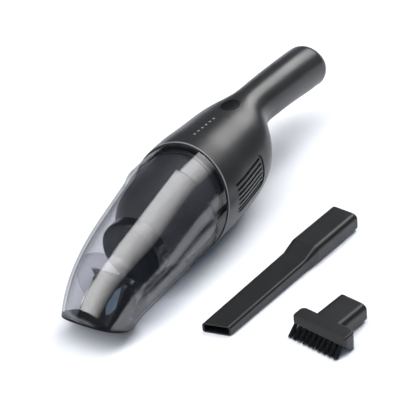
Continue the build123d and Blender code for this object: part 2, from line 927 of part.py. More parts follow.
# Motor can with its front bearing seat
front_bearing_front = motor_front + motor_front_wall - bearing_length
with BuildPart() as motor_can:
    add(drum(motor_radius, motor_front, motor_back))
    add(
        drum(motor_radius - motor_wall, motor_front + motor_front_wall, motor_back + overrun),
        mode=Mode.SUBTRACT,
    )
    add(drum(motor_nose_radius, front_bearing_front, motor_front))
    add(drum(bearing_radius, front_bearing_front - overrun, motor_back), mode=Mode.SUBTRACT)
    with BuildSketch(upright_plane(motor_front + motor_front_wall, centre_height)):
        with Locations((0, motor_screw_spread), (0, -motor_screw_spread)):
            Circle(motor_screw_radius)
    extrude(amount=motor_front_wall, mode=Mode.SUBTRACT)
save(motor_can, "motor_can")

with BuildPart() as motor_screws:
    with BuildSketch(upright_plane(shroud_back - shroud_wall, centre_height)):
        with Locations((0, motor_screw_spread), (0, -motor_screw_spread)):
            Circle(motor_screw_head_radius)
    extrude(amount=motor_screw_head_height)
    with BuildSketch(upright_plane(shroud_back - shroud_wall, centre_height)):
        with Locations((0, motor_screw_spread), (0, -motor_screw_spread)):
            Circle(motor_screw_radius - slip_gap)
    extrude(amount=-motor_screw_length)
save(motor_screws, "motor_screws")

with BuildPart() as front_bearing:
    add(drum(bearing_radius, front_bearing_front, front_bearing_front + bearing_length))
    add(drum(shaft_radius + slip_gap, fan_front, motor_back), mode=Mode.SUBTRACT)
    chamfer(front_bearing.edges().filter_by(GeomType.CIRCLE), bearing_bevel)
save(front_bearing, "front_bearing")

rear_bearing_front = motor_back + endcap_boss_length - bearing_length
with BuildPart() as rear_bearing:
    add(drum(bearing_radius, rear_bearing_front, rear_bearing_front + bearing_length))
    add(drum(shaft_radius + slip_gap, fan_front, shaft_back + overrun), mode=Mode.SUBTRACT)
    chamfer(rear_bearing.edges().filter_by(GeomType.CIRCLE), bearing_bevel)
save(rear_bearing, "rear_bearing")

with BuildPart() as motor_endcap:
    add(drum(motor_radius - motor_wall, endcap_front, motor_back))
    add(drum(motor_nose_radius, motor_back, motor_back + endcap_boss_length))
    add(drum(bearing_radius, endcap_front - overrun, motor_back + overrun), mode=Mode.SUBTRACT)
    with BuildSketch(upright_plane(motor_back, centre_height)):
        with Locations((-terminal_spread, 0), (terminal_spread, 0)):
            Rectangle(terminal_thickness, terminal_width)
    extrude(amount=endcap_thickness, mode=Mode.SUBTRACT)
save(motor_endcap, "motor_endcap")

with BuildPart() as motor_terminals:
    with BuildSketch(upright_plane(motor_back + terminal_length, centre_height)):
        with Locations((-terminal_spread, 0), (terminal_spread, 0)):
            Rectangle(terminal_thickness, terminal_width)
    extrude(amount=terminal_length + endcap_thickness)
save(motor_terminals, "motor_terminals")

# Rotor: slotted core, winding and commutator on the shaft
rotor_front = motor_front + motor_front_wall + rotor_front_gap
rotor_back = rotor_front + rotor_length
winding_front = rotor_front - winding_overhang
winding_back = rotor_back + winding_overhang
with BuildPart() as rotor_core:
    add(drum(rotor_radius, rotor_front, rotor_back))
    with BuildSketch(upright_plane(rotor_back, centre_height)):
        with PolarLocations(rotor_radius, rotor_slot_count):
            Rectangle(2 * rotor_slot_depth, rotor_slot_width)
    extrude(amount=rotor_length, mode=Mode.SUBTRACT)
    add(drum(shaft_radius, rotor_front - overrun, rotor_back + overrun), mode=Mode.SUBTRACT)
save(rotor_core, "rotor_core")

with BuildPart() as rotor_winding:
    with BuildSketch(upright_plane(rotor_back, centre_height)):
        with PolarLocations(rotor_radius - rotor_slot_depth / 2, rotor_slot_count):
            Rectangle(rotor_slot_depth, rotor_slot_width)
    extrude(amount=rotor_length)
    add(drum(rotor_radius - rotor_edge_drop, winding_front, winding_back), mode=Mode.INTERSECT)
    add(drum(winding_radius, winding_front, rotor_front))
    add(drum(winding_radius, rotor_back, winding_back))
    add(drum(shaft_radius, winding_front - overrun, winding_back + overrun), mode=Mode.SUBTRACT)
save(rotor_winding, "rotor_winding")

commutator_back = winding_back + commutator_length
with BuildPart() as commutator:
    add(drum(commutator_radius, winding_back, commutator_back))
    add(drum(shaft_radius, winding_back - overrun, commutator_back + overrun), mode=Mode.SUBTRACT)
    with BuildSketch(upright_plane(commutator_back, centre_height)):
        with PolarLocations(commutator_radius, rotor_slot_count):
            Rectangle(commutator_slit_depth * 2, commutator_slit_width)
    extrude(amount=commutator_length, mode=Mode.SUBTRACT)
save(commutator, "commutator")

with BuildPart() as motor_magnets:
    add(drum(motor_radius - motor_wall, winding_front, winding_back))
    add(
        drum(motor_radius - motor_wall - magnet_thickness, winding_front - overrun, motor_back),
        mode=Mode.SUBTRACT,
    )
    with BuildSketch(upright_plane(winding_back, centre_height)):
        Rectangle(magnet_gap_width, 2 * motor_radius)
    extrude(amount=winding_back - winding_front, mode=Mode.SUBTRACT)
save(motor_magnets, "motor_magnets")

with BuildPart() as motor_brushes:
    with BuildSketch(upright_plane(commutator_back, centre_height)):
        brush_offset = commutator_radius + running_gap + motor_brush_height / 2
        with Locations((-brush_offset, 0), (brush_offset, 0)):
            Rectangle(motor_brush_height, motor_brush_width)
    extrude(amount=motor_brush_length)
    # Holders that stand on the end cap
    with BuildSketch(upright_plane(endcap_front, centre_height)):
        with Locations((-brush_offset, 0), (brush_offset, 0)):
            Rectangle(motor_brush_height, motor_brush_width)
    extrude(amount=endcap_front - commutator_back)
save(motor_brushes, "motor_brushes")

with BuildPart() as motor_ring:
    ring_back = mount_ring_place + (mount_rib_length + mount_ring_length) / 2
    add(drum(motor_radius + mount_ring_thickness + slip_gap, ring_back - mount_ring_length, ring_back))
    add(drum(motor_radius + slip_gap, motor_front, motor_back + overrun), mode=Mode.SUBTRACT)
save(motor_ring, "motor_ring")

# Power button, pressed straight down
with BuildPart() as power_button:
    with BuildSketch(Plane.XY.offset(flange_bottom)):
        with Locations((0, button_place)):
            Ellipse(button_width / 2, button_length / 2)
    extrude(amount=body_radius)
    add(housing_form(button_sink), mode=Mode.INTERSECT)
    with BuildSketch(Plane.XY.offset(flange_bottom)):
        with Locations((0, button_place)):
            Ellipse(
                button_width / 2 + button_gap + button_flange,
                button_length / 2 + button_gap + button_flange,
            )
    extrude(amount=button_flange_thickness)
    with BuildSketch(Plane.XY.offset(flange_bottom)):
        with Locations((0, button_place)):
            Circle(button_stem_radius)
    extrude(amount=-button_stem_length)
save(power_button, "power_button")

# Rubber dome that lifts the button again
with BuildPart() as button_dome:
    with BuildSketch(Plane.XY.offset(board_top)):
        with Locations((0, button_place)):
            Circle(pad_radius)
    extrude(amount=pad_height, taper=pad_taper)
    with BuildSketch(Plane.XY.offset(board_top)):
        with Locations((0, button_place)):
            Circle(pad_radius - pad_wall)
    extrude(amount=pad_height - pad_wall, taper=pad_taper, mode=Mode.SUBTRACT)
save(button_dome, "button_dome")

with BuildPart() as power_switch:
    with BuildSketch(Plane.XY.offset(board_top)):
        with Locations((0, button_place)):
            Rectangle(switch_width, switch_width)
    extrude(amount=switch_height)
    with BuildSketch(Plane.XY.offset(board_top + switch_height)):
        with Locations((0, button_place)):
            Circle(switch_pin_radius)
    extrude(amount=switch_pin_height)
save(power_switch, "power_switch")

# Circuit board with its chips
with BuildPart() as circuit_board:
    with BuildSketch(Plane.XY.offset(board_bottom)):
        with Locations((0, board_start + board_length / 2)):
            RectangleRounded(board_width, board_length, board_corner)
        with Locations(board_post_points):
            Circle(board_screw_radius + slip_gap, mode=Mode.SUBTRACT)
    extrude(amount=board_thickness)
    with BuildSketch(Plane.XY.offset(board_bottom)):
        with Locations((0, board_start + board_length * chip_place_share)):
            with GridLocations(chip_pitch, chip_length, 2, 1):
                Rectangle(chip_width, chip_length)
    extrude(amount=-chip_thickness)
save(circuit_board, "circuit_board")

with BuildPart() as board_screws:
    with BuildSketch(Plane.XY.offset(board_bottom)):
        with Locations(board_post_points):
            Circle(board_screw_head_radius)
    extrude(amount=-board_screw_head_height)
    with BuildSketch(Plane.XY.offset(board_bottom)):
        with Locations(board_post_points):
            Circle(board_screw_radius - slip_gap)
    extrude(amount=board_screw_length)
save(board_screws, "board_screws")

# Lamp strip: six light pipes on one clear bar, with its board below
with BuildPart() as lamp_strip:
    with BuildSketch(lamp_plane):
        RectangleRounded(lamp_strip_width, lamp_strip_length, lamp_strip_corner)
    extrude(amount=-lamp_strip_thickness)
    with BuildSketch(Plane.XY.offset(lamp_lead_height)):
        with Locations([(0, place) for place in lamp_places]):
            Circle(lamp_radius)
    extrude(amount=lamp_front_height - lamp_lead_height + housing_wall)
    split(bisect_by=lamp_plane.offset(-lamp_strip_thickness), keep=Keep.TOP)
    add(housing_form(lamp_sink), mode=Mode.INTERSECT)
save(lamp_strip, "lamp_strip")

with BuildPart() as lamp_board:
    with BuildSketch(lamp_plane.offset(-lamp_strip_thickness - slip_gap)):
        RectangleRounded(lamp_strip_width, lamp_strip_length, lamp_strip_corner)
    extrude(amount=-lamp_board_thickness)
save(lamp_board, "lamp_board")

# Battery cells, their cradle and contacts
cell_starts = (0, cell_length + cell_gap)
for index, start in enumerate(cell_starts):
    with BuildPart() as battery_cell:
        with BuildSketch(cell_plane.offset(start)):
            Circle(cell_radius)
        extrude(amount=cell_length)
        fillet(battery_cell.edges(), cell_edge_round)
        with BuildSketch(cell_plane.offset(start + cell_length)):
            Circle(cell_tip_radius)
        extrude(amount=cell_tip_length)
    save(battery_cell, f"battery_cell_{index + 1}")

cradle_inside = cell_radius + close_gap
cradle_start = -contact_gap - contact_thickness - contact_gap
cradle_stop = cell_starts[1] + cell_length + cell_tip_length + 2 * contact_gap + contact_thickness
cradle_rim = (cradle_inside + cradle_wall) * 2
with BuildPart() as cradle_ribs:
    for place in cradle_rib_places:
        with BuildSketch(cell_plane.offset(place - cell_front_place)):
            with Locations((0, body_radius)):
                Rectangle(2 * body_radius, 2 * body_radius)
        extrude(amount=cradle_rib_length)
    add(housing_form(housing_wall + close_gap), mode=Mode.INTERSECT)

with BuildPart() as cell_cradle:
    with BuildSketch(cell_plane.offset(cradle_start - cradle_end)):
        Circle(cradle_inside + cradle_wall)
        with Locations((0, -body_radius)):
            Rectangle(2 * body_radius, 2 * body_radius, mode=Mode.SUBTRACT)
    extrude(amount=cradle_stop - cradle_start + 2 * cradle_end)
    add(cradle_ribs.part)
    with BuildSketch(cell_plane.offset(cradle_start)):
        Circle(cradle_inside)
    extrude(amount=cradle_stop - cradle_start, mode=Mode.SUBTRACT)
    # Shelf for the charge port's board
    with BuildSketch(Plane.XY.offset(port_board_top - port_board_thickness - close_gap)):
        with Locations((0, cell_front_place + cradle_stop + port_shelf_length / 2)):
            Rectangle(port_board_width, port_shelf_length)
    extrude(amount=-port_shelf_thickness)
save(cell_cradle, "cell_cradle")

with BuildPart() as cell_contacts:
    for start in (cradle_start + contact_gap / 2, cradle_stop - contact_gap / 2 - contact_thickness):
        with BuildSketch(cell_plane.offset(start)):
            with Locations((0, -contact_rise / 2)):
                Rectangle(contact_width, contact_width + contact_rise)
        extrude(amount=contact_thickness)
save(cell_contacts, "cell_contacts")

# Charge port and its board
with BuildPart() as charge_port:
    with BuildSketch(port_plane):
        RectangleRounded(port_width, port_height, port_corner)
        RectangleRounded(
            port_width - 2 * port_wall,
            port_height - 2 * port_wall,
            port_corner - port_wall,
            mode=Mode.SUBTRACT,
        )
    extrude(amount=-port_length)
    with BuildSketch(port_plane.offset(-port_length)):
        RectangleRounded(port_width, port_height, port_corner)
    extrude(amount=port_back_wall)
    with BuildSketch(port_plane.offset(-port_length)):
        Rectangle(port_width - 4 * port_tongue_height, port_tongue_height)
    extrude(amount=port_length - 2 * port_tongue_height)
save(charge_port, "charge_port")

with BuildPart() as port_board:
    with BuildSketch(Plane.XY.offset(port_board_top - slip_gap)):
        with Locations((0, port_front + port_board_length / 2 - port_board_overlap)):
            Rectangle(port_board_width, port_board_length)
    extrude(amount=-port_board_thickness)
save(port_board, "port_board")

# Dust cup: a clear shell that narrows to the slanted mouth
mouth_slope = atan2(mouth_lip_height + cup_sink, cup_undercut)
mouth_middle = (
    cup_rear_place - cup_lip_reach + cup_undercut / 2,
    (mouth_lip_height - cup_sink) / 2,
)
mouth_plane = Plane(
    origin=(0, *mouth_middle),
    x_dir=(1, 0, 0),
    z_dir=(0, -sin(mouth_slope), -cos(mouth_slope)),
)


def cup_stations():
    """Bottom point, top point and half width of each section of the cup, from rear to mouth."""
    bottom_reach = cup_lip_reach - cup_undercut
    stations = []
    for low, high, drop, narrow in zip(
        cup_bottom_shares, cup_top_shares, cup_top_drop_shares, cup_width_drop_shares
    ):
        bottom = (cup_rear_place - bottom_reach * low, -cup_sink)
        top = (
            cup_rear_place - cup_lip_reach * high,
            blend(cup_rear_top, mouth_lip_height, drop),
        )
        stations.append((bottom, top, blend(cup_rear_width, mouth_width, narrow) / 2))
    return stations


def cup_form(inset):
    """The closed body under the cup's outer surface, drawn in by inset square to the wall."""
    stations = cup_stations()
    with BuildPart() as form:
        for index, (bottom, top, half_width) in enumerate(stations):
            rise = (top[0] - bottom[0], top[1] - bottom[1])
            span = sqrt(rise[0] ** 2 + rise[1] ** 2)
            near = stations[max(index - 1, 0)]
            far = stations[min(index + 1, len(stations) - 1)]
            insets = []
            for side in (0, 1):
                run = (far[side][0] - near[side][0], far[side][1] - near[side][1])
                length = sqrt(run[0] ** 2 + run[1] ** 2)
                across = abs(run[0] * rise[1] - run[1] * rise[0]) / (length * span)
                insets.append(inset / across)
            middle_share = 0.5 + (insets[0] - insets[1]) / (2 * span)
            middle = [blend(bottom[axis], top[axis], middle_share) for axis in (0, 1)]
            section_plane = Plane(
                origin=(0, *middle),
                x_dir=(1, 0, 0),
                z_dir=(0, -rise[1] / span, rise[0] / span),
            )
            with BuildSketch(section_plane):
                with BuildLine():
                    Spline(
                        *blunt_points(
                            half_width - inset,
                            (span - insets[0] - insets[1]) / 2,
                            cup_front_bluntness[index],
                        ),
                        periodic=True,
                    )
                make_face()
        loft()
    return form.part


cup_outer = cup_form(0)
cup_inner = cup_form(cup_wall)
duct_direction = Vector(0, -cos(radians(duct_slope)), -sin(radians(duct_slope)))
duct_plane = Plane(
    origin=(0, duct_place, duct_middle_height), x_dir=(1, 0, 0), z_dir=tuple(duct_direction)
)
duct_reach = cup_undercut


def duct_form(inset):
    """A straight bar with the duct's arched section, drawn in by inset."""
    with BuildPart() as form:
        with BuildSketch(duct_plane):
            RectangleRounded(
                duct_width - 2 * inset, duct_height - 2 * inset, duct_corner - inset
            )
        extrude(amount=duct_reach, both=True)
    return form.part



partition_front = partition_place - partition_thickness / 2
partition_back = partition_place + partition_thickness / 2
duct_back = partition_back + duct_rear_reach
spigot_radius = skirt_radius - running_gap
spigot_inner_radius = spigot_radius - spigot_wall
plate_front_offset = filter_plate_start + filter_plate_thickness
seat_offset = plate_front_offset + filter_seal_thickness + slip_gap
spigot_root = seat_offset + filter_seat_thickness

with BuildPart() as collar_inside:
    add(drum(collar_inner_radius, cup_rear_place - inside_overrun, rim_reach))
    split(bisect_by=rim_plane.offset(spigot_root), keep=Keep.TOP)

with BuildPart() as collar:
    add(drum(collar_radius, cup_rear_place, rim_reach, collar_height))
    split(bisect_by=rim_plane.offset(rim_gap), keep=Keep.TOP)

with BuildPart() as dust_cup:
    add([cup_outer, collar.part])
    add([cup_inner, collar_inside.part], mode=Mode.SUBTRACT)
    add(drum(spigot_inner_radius, cup_rear_place, rim_reach), mode=Mode.SUBTRACT)
    # Spigot that enters the housing, and the seat for the filter
    add(slanted_ring(spigot_radius, spigot_inner_radius, spigot_root, -spigot_length))
    add(
        slanted_ring(
            spigot_inner_radius + inside_overrun,
            spigot_inner_radius - filter_seat_depth,
            spigot_root,
            seat_offset,
        )
    )
    add(
        slanted_ring(
            spigot_radius + overrun,
            spigot_radius - seal_thickness,
            -seal_setback,
            -seal_setback - seal_depth,
        ),
        mode=Mode.SUBTRACT,
    )
    split(bisect_by=mouth_plane.offset(-lip_thickness - slip_gap), keep=Keep.BOTTOM)
    split(bisect_by=Plane.XY, keep=Keep.TOP)
save(dust_cup, "dust_cup")

with BuildPart() as cup_seal:
    add(
        slanted_ring(
            skirt_radius - close_gap,
            spigot_radius - seal_thickness + slip_gap,
            -seal_setback - slip_gap,
            -seal_setback - seal_depth + slip_gap,
        )
    )
save(cup_seal, "cup_seal")

# Inlet duct with the lip that closes the cup's nose round it
with BuildPart() as mouth_lip:
    add(cup_outer)
    split(bisect_by=mouth_plane.offset(-lip_thickness), keep=Keep.TOP)

with BuildPart() as inlet_duct:
    add(duct_form(0))
    with BuildSketch(upright_plane(duct_back, centre_height)):
        Rectangle(2 * body_radius, 2 * body_radius)
    extrude(amount=-duct_reach, mode=Mode.SUBTRACT)
    split(bisect_by=mouth_plane, keep=Keep.BOTTOM)
    add(mouth_lip.part)
    add(duct_form(duct_wall), mode=Mode.SUBTRACT)
    split(bisect_by=Plane.XY, keep=Keep.TOP)
save(inlet_duct, "inlet_duct")

# Ribs in the duct that guide a tool's connector
bore_width = duct_width - 2 * duct_wall
bore_height = duct_height - 2 * duct_wall
side_rib = (bore_width - connector_width) / 2 - connector_gap
flat_rib = (bore_height - connector_height) / 2 - connector_gap
with BuildPart() as socket_ribs:
    with BuildSketch(duct_plane.offset(socket_rib_start)):
        with Locations((-(bore_width - side_rib) / 2, 0), ((bore_width - side_rib) / 2, 0)):
            Rectangle(side_rib, socket_rib_width)
        with GridLocations(socket_rib_pitch, bore_height - flat_rib, 2, 2):
            Rectangle(socket_rib_width, flat_rib)
    extrude(amount=duct_reach)
    split(bisect_by=mouth_plane.offset(-lip_thickness), keep=Keep.BOTTOM)
save(socket_ribs, "socket_ribs")

# Wall that closes the dust chamber round the duct, with lugs for the flap
flap_pin_place = partition_back + running_gap + flap_knuckle_radius
duct_back_middle = duct_middle_height + (duct_back - duct_place) * tan(radians(duct_slope))
duct_back_rise = duct_height / 2 / cos(radians(duct_slope))
flap_top = duct_back_middle + duct_back_rise + flap_overlap
flap_bottom = duct_back_middle - duct_back_rise - flap_overlap
flap_pin_height = flap_top + flap_lug_radius + running_gap
lug_plane = Plane(origin=(0, flap_pin_place, flap_pin_height), x_dir=(0, 1, 0), z_dir=(1, 0, 0))
knuckle_half = duct_width / 2 - flap_lug_thickness
with BuildPart() as chamber_wall:
    add(cup_form(cup_wall + slip_gap))
    with BuildSketch(upright_plane(partition_back, centre_height)):
        Rectangle(4 * body_radius, 4 * body_radius)
    extrude(amount=partition_thickness, mode=Mode.INTERSECT)
    for side in (-1, 1):
        with BuildSketch(lug_plane.offset(side * (knuckle_half + running_gap))):
            Circle(flap_lug_radius)
            with Locations((-(flap_pin_place - partition_back) / 2, 0)):
                Rectangle(flap_pin_place - partition_back, 2 * flap_lug_radius)
        extrude(amount=side * flap_lug_thickness)
    add(duct_form(-slip_gap), mode=Mode.SUBTRACT)
    with BuildSketch(lug_plane.offset(-duct_width)):
        Circle(flap_pin_radius)
    extrude(amount=2 * duct_width, mode=Mode.SUBTRACT)
save(chamber_wall, "chamber_wall")

pin_half = knuckle_half + running_gap + flap_lug_thickness
with BuildPart() as flap_pin:
    with BuildSketch(lug_plane.offset(-pin_half)):
        Circle(flap_pin_radius)
    extrude(amount=2 * pin_half)
save(flap_pin, "flap_pin")

with BuildPart() as inlet_flap:
    with BuildSketch(upright_plane(duct_back + flap_gap + flap_thickness, 0)):
        with Locations((0, (flap_top + flap_bottom) / 2)):
            RectangleRounded(
                duct_width + 2 * flap_overlap,
                flap_top - flap_bottom,
                duct_corner + flap_overlap,
            )
        with Locations((0, (flap_pin_height + duct_back_middle) / 2)):
            Rectangle(2 * knuckle_half, flap_pin_height - duct_back_middle)
    extrude(amount=flap_thickness)
    with BuildSketch(lug_plane.offset(-knuckle_half)):
        Circle(flap_knuckle_radius)
    extrude(amount=2 * knuckle_half)
    with BuildSketch(lug_plane.offset(-duct_width)):
        Circle(flap_pin_radius + flap_knuckle_gap)
    extrude(amount=2 * duct_width, mode=Mode.SUBTRACT)
save(inlet_flap, "inlet_flap")

# Filter cartridge: base plate, seal, mesh sleeve, pleats and front cap
with BuildPart() as filter_plate:
    add(
        slanted_ring(
            filter_radius,
            filter_bore_radius,
            plate_front_offset,
            filter_plate_start,
            centre_height - pleat_height,
        )
    )
save(filter_plate, "filter_plate")

with BuildPart() as filter_seal:
    add(
        slanted_ring(
            filter_radius,
            filter_radius - filter_seat_depth,
            seat_offset - slip_gap,
            plate_front_offset,
        )
    )
save(filter_seal, "filter_seal")


def sleeve_form(inset):
    """The closed body under the mesh sleeve's outer surface, drawn in by inset."""
    with BuildPart() as form:
        for place, radius, height in zip(mesh_places, mesh_radii, mesh_heights):
            with BuildSketch(upright_plane(place, height)):
                Circle(radius - inset)
        loft()
        split(bisect_by=rim_plane.offset(plate_front_offset), keep=Keep.TOP)
    return form.part


with BuildPart() as mesh_sleeve:
    add(sleeve_form(0))
    add(sleeve_form(mesh_wall), mode=Mode.SUBTRACT)
save(mesh_sleeve, "mesh_sleeve")

cap_back = cap_front_place + cap_length
with BuildPart() as filter_cap:
    add(drum(cap_radius, cap_front_place, cap_back, cap_height))
    fillet(filter_cap.edges().sort_by(Axis.Y)[0], cap_edge_round)
    add(
        drum(cap_radius - cap_wall, cap_front_place + cap_wall, cap_back, cap_height),
        mode=Mode.SUBTRACT,
    )
    # Stem towards the duct
    stem_run = stem_end - stem_start
    stem_fall = stem_end_height - stem_start_height
    stem_length = sqrt(stem_run**2 + stem_fall**2)
    stem_plane = Plane(
        origin=(0, stem_start, stem_start_height),
        x_dir=(1, 0, 0),
        z_dir=(0, stem_run / stem_length, stem_fall / stem_length),
    )
    with BuildSketch(stem_plane):
        Circle(stem_radius)
    with BuildSketch(stem_plane.offset(stem_length * stem_flare_share)):
        Circle(stem_radius)
    loft(ruled=True)
    with BuildSketch(stem_plane.offset(stem_length * stem_flare_share)):
        Circle(stem_radius)
    with BuildSketch(stem_plane.offset(stem_length)):
        Circle(stem_foot_radius)
    loft(ruled=True)
save(filter_cap, "filter_cap")

pleat_turn = pi / pleat_count
with BuildPart() as pleated_filter:
    with BuildSketch(upright_plane(rim_reach, pleat_height)):
        for inset, fold_mode in ((0, Mode.ADD), (pleat_thickness, Mode.SUBTRACT)):
            with BuildLine():
                folds = [
                    (
                        (radius - inset) * cos((2 * index + half) * pleat_turn),
                        (radius - inset) * sin((2 * index + half) * pleat_turn),
                    )
                    for index in range(pleat_count)
                    for half, radius in ((0, pleat_outer_radius), (1, pleat_inner_radius))
                ]
                Polyline(*folds, close=True)
            make_face(mode=fold_mode)
    extrude(amount=rim_reach - cap_front_place - cap_wall)
    split(bisect_by=rim_plane.offset(plate_front_offset), keep=Keep.TOP)
save(pleated_filter, "pleated_filter")

# Crevice tool, laid on its flat side
crevice_frame = Plane(origin=(crevice_x, crevice_y, 0)).rotated((0, 0, -crevice_lean))
crevice_middle = crevice_tip_width / 2


def crevice_form(inset):
    """The crevice tool's closed outline, drawn in by inset; it runs past both ends when inset."""
    reach = overrun if inset else 0
    ramp_end = crevice_blade_length + crevice_ramp_length
    sections = (
        (-reach, crevice_tip_width, crevice_tip_height, crevice_corner),
        (crevice_blade_length, crevice_blade_width, crevice_blade_height, crevice_corner),
        (ramp_end, connector_width, connector_height, connector_corner),
        (crevice_length + reach, connector_width, connector_height, connector_corner),
    )
    with BuildPart() as form:
        for place, width, height, corner in sections:
            section_plane = Plane(
                origin=crevice_frame.from_local_coords((crevice_middle, place, height / 2)),
                x_dir=crevice_frame.x_dir,
                z_dir=-crevice_frame.y_dir,
            )
            with BuildSketch(section_plane):
                RectangleRounded(width - 2 * inset, height - 2 * inset, corner - inset)
        loft(ruled=True)
    return form.part


tip_slope = radians(crevice_tip_slant)
crevice_across = crevice_frame.x_dir
crevice_along = crevice_frame.y_dir
tip_plane = Plane(
    origin=crevice_frame.origin,
    x_dir=crevice_across * cos(tip_slope) + crevice_along * sin(tip_slope),
    z_dir=crevice_across * sin(tip_slope) - crevice_along * cos(tip_slope),
)
with BuildPart() as crevice_tool:
    add(crevice_form(0))
    add(crevice_form(crevice_wall), mode=Mode.SUBTRACT)
    split(bisect_by=tip_plane, keep=Keep.BOTTOM)
save(crevice_tool, "crevice_tool")

# Brush tool, laid on its connector and its bristles
brush_frame = Plane(origin=(brush_x, brush_y, 0)).rotated((0, 0, -brush_lean))
brush_across = brush_frame.x_dir
brush_along = brush_frame.y_dir
brush_side = Plane(origin=brush_frame.origin, x_dir=brush_along, z_dir=brush_across)
face_slope = radians(brush_face_angle)
face_top = (-brush_front_reach, connector_height - brush_front_drop)
face_end = (
    face_top[0] + brush_face_length * cos(face_slope),
    face_top[1] - brush_face_length * sin(face_slope),
)
face_plane = Plane(
    origin=brush_side.from_local_coords((*face_top, 0)),
    x_dir=brush_across,
    z_dir=-(brush_along * sin(face_slope)) - Vector(0, 0, cos(face_slope)),
)
connector_plane = Plane(
    origin=brush_frame.from_local_coords((0, brush_length, connector_height / 2)),
    x_dir=brush_across,
    z_dir=-brush_along,
)
face_place = blend(-brush_front_reach, brush_depth, 0.5)
backing_width = 2 * (brush_half_width - brush_ear_round / 2)
backing_depth = tuft_row_places[-1] + tuft_radius + backing_margin
bore_turn = brush_length - brush_depth - brush_wall
slot_corner = brush_slot_depth / 2 - inside_overrun

with BuildPart() as backing_space:
    with BuildSketch(face_plane):
        with Locations((0, -backing_depth / 2)):
            Rectangle(backing_width, backing_depth - backing_margin)
    extrude(amount=-backing_thickness)

with BuildPart() as brush_body:
    with BuildSketch(brush_side.offset(-brush_half_width)):
        with BuildLine():
            Polyline(
                (0, connector_height),
                face_top,
                face_end,
                (brush_depth, 0),
                (brush_depth, connector_height),
                close=True,
            )
        make_face()
    extrude(amount=2 * brush_half_width)
    with BuildSketch(brush_frame):
        with Locations((0, face_place)):
            RectangleRounded(
                2 * brush_half_width, brush_depth + brush_front_reach, brush_ear_round
            )
    extrude(amount=connector_height, mode=Mode.INTERSECT)
    fillet(brush_body.faces().sort_by(Axis.Z)[-1].edges(), brush_top_round)
    with BuildSketch(connector_plane):
        RectangleRounded(connector_width, connector_height, connector_corner)
    extrude(amount=brush_length - brush_depth / 2)
    # Way for the air from the slot in the face to the connector
    with BuildSketch(connector_plane):
        RectangleRounded(
            connector_width - 2 * brush_wall,
            connector_height - 2 * brush_wall,
            connector_corner - brush_wall,
        )
    extrude(amount=bore_turn, mode=Mode.SUBTRACT)
    with BuildSketch(connector_plane.offset(bore_turn)):
        RectangleRounded(
            connector_width - 2 * brush_wall,
            connector_height - 2 * brush_wall,
            connector_corner - brush_wall,
        )
    with BuildSketch(face_plane):
        with Locations((0, -brush_slot_place)):
            RectangleRounded(brush_slot_width, brush_slot_depth, slot_corner)
    loft(mode=Mode.SUBTRACT)
    with BuildSketch(face_plane):
        with Locations((0, -brush_slot_place)):
            RectangleRounded(brush_slot_width, brush_slot_depth, slot_corner)
    extrude(amount=overrun, mode=Mode.SUBTRACT)
    add(backing_space.part, mode=Mode.SUBTRACT)
save(brush_body, "brush_body")


def tuft_strands(middle_x, middle_y):
    """The separate strands of one tuft, each as long as its way to the ground."""
    strands = []
    for count, ring_share in zip(tuft_ring_counts, tuft_ring_shares):
        for index in range(count):
            turn = 2 * pi * index / count
            side = tuft_radius * ring_share * cos(turn)
            rise = tuft_radius * ring_share * sin(turn)
            root = face_plane.from_local_coords((middle_x + side, middle_y + rise, 0))
            lean = tan(radians(bristle_splay)) / tuft_radius
            aim = face_plane.from_local_coords((middle_x + side, middle_y + rise, 1))
            direction = (aim - root) + face_plane.x_dir * side * lean + face_plane.y_dir * rise * lean
            direction = direction.normalized()
            length = (root.Z - strand_size - tip_clear) / -direction.Z
            with BuildPart() as strand:
                with BuildSketch(face_plane):
                    with Locations((middle_x + side, middle_y + rise)):
                        Rectangle(strand_size, strand_size)
                extrude(amount=length, dir=direction)
            strands.append(strand.part)
    return strands


with BuildPart() as brush_bristles:
    add(backing_space.part)
    bristles = []
    for row, place in enumerate(tuft_row_places):
        columns = tuft_columns - row
        for column in range(columns):
            bristles += tuft_strands((column - (columns - 1) / 2) * tuft_pitch, -place)
    add(bristles)
save(brush_bristles, "brush_bristles")

# Wires


def wire(points):
    """A round wire along straight runs with rounded corners through the given points."""
    with BuildPart() as form:
        with BuildLine() as path:
            FilletPolyline(*points, radius=lead_bend)
        with BuildSketch(Plane(origin=path.line @ 0, z_dir=path.line % 0)):
            Circle(wire_radius)
        sweep()
    return form.part


terminal_end = motor_back + terminal_length + slip_gap
board_pad_height = board_bottom - slip_gap
lead_turn = terminal_end + 2 * lead_bend
with BuildPart() as motor_leads:
    for lead_x in (-terminal_spread, terminal_spread):
        add(
            wire(
                [
                    (lead_x, terminal_end, centre_height),
                    (lead_x, lead_turn, centre_height),
                    (lead_x, lead_turn, board_pad_height),
                ]
            )
        )
save(motor_leads, "motor_leads")


def cell_point(across, down, along):
    """A point beside the battery cells, given across, downward and along their axis."""
    return tuple(cell_plane.from_local_coords((across, down, along)))


lead_side = cradle_inside + cradle_wall / 2
lead_height = -wire_radius - close_gap
lead_stop = cradle_stop + cradle_end + 2 * wire_radius
lead_inset = 2 * lead_bend
board_lead_place = board_end - 2 * wire_radius
contact_lead_x = contact_width / 2 - wire_radius


def lead_along_cells(side):
    """The points of a lead beside the cells, from the handle's end to the circuit board."""
    front = cell_point(side * lead_side, lead_height, cradle_start)
    return [
        cell_point(side * lead_side, lead_height, lead_stop),
        front,
        (side * (lead_side - lead_inset), board_lead_place, front[2]),
        (side * (lead_side - lead_inset), board_lead_place, board_pad_height),
    ]


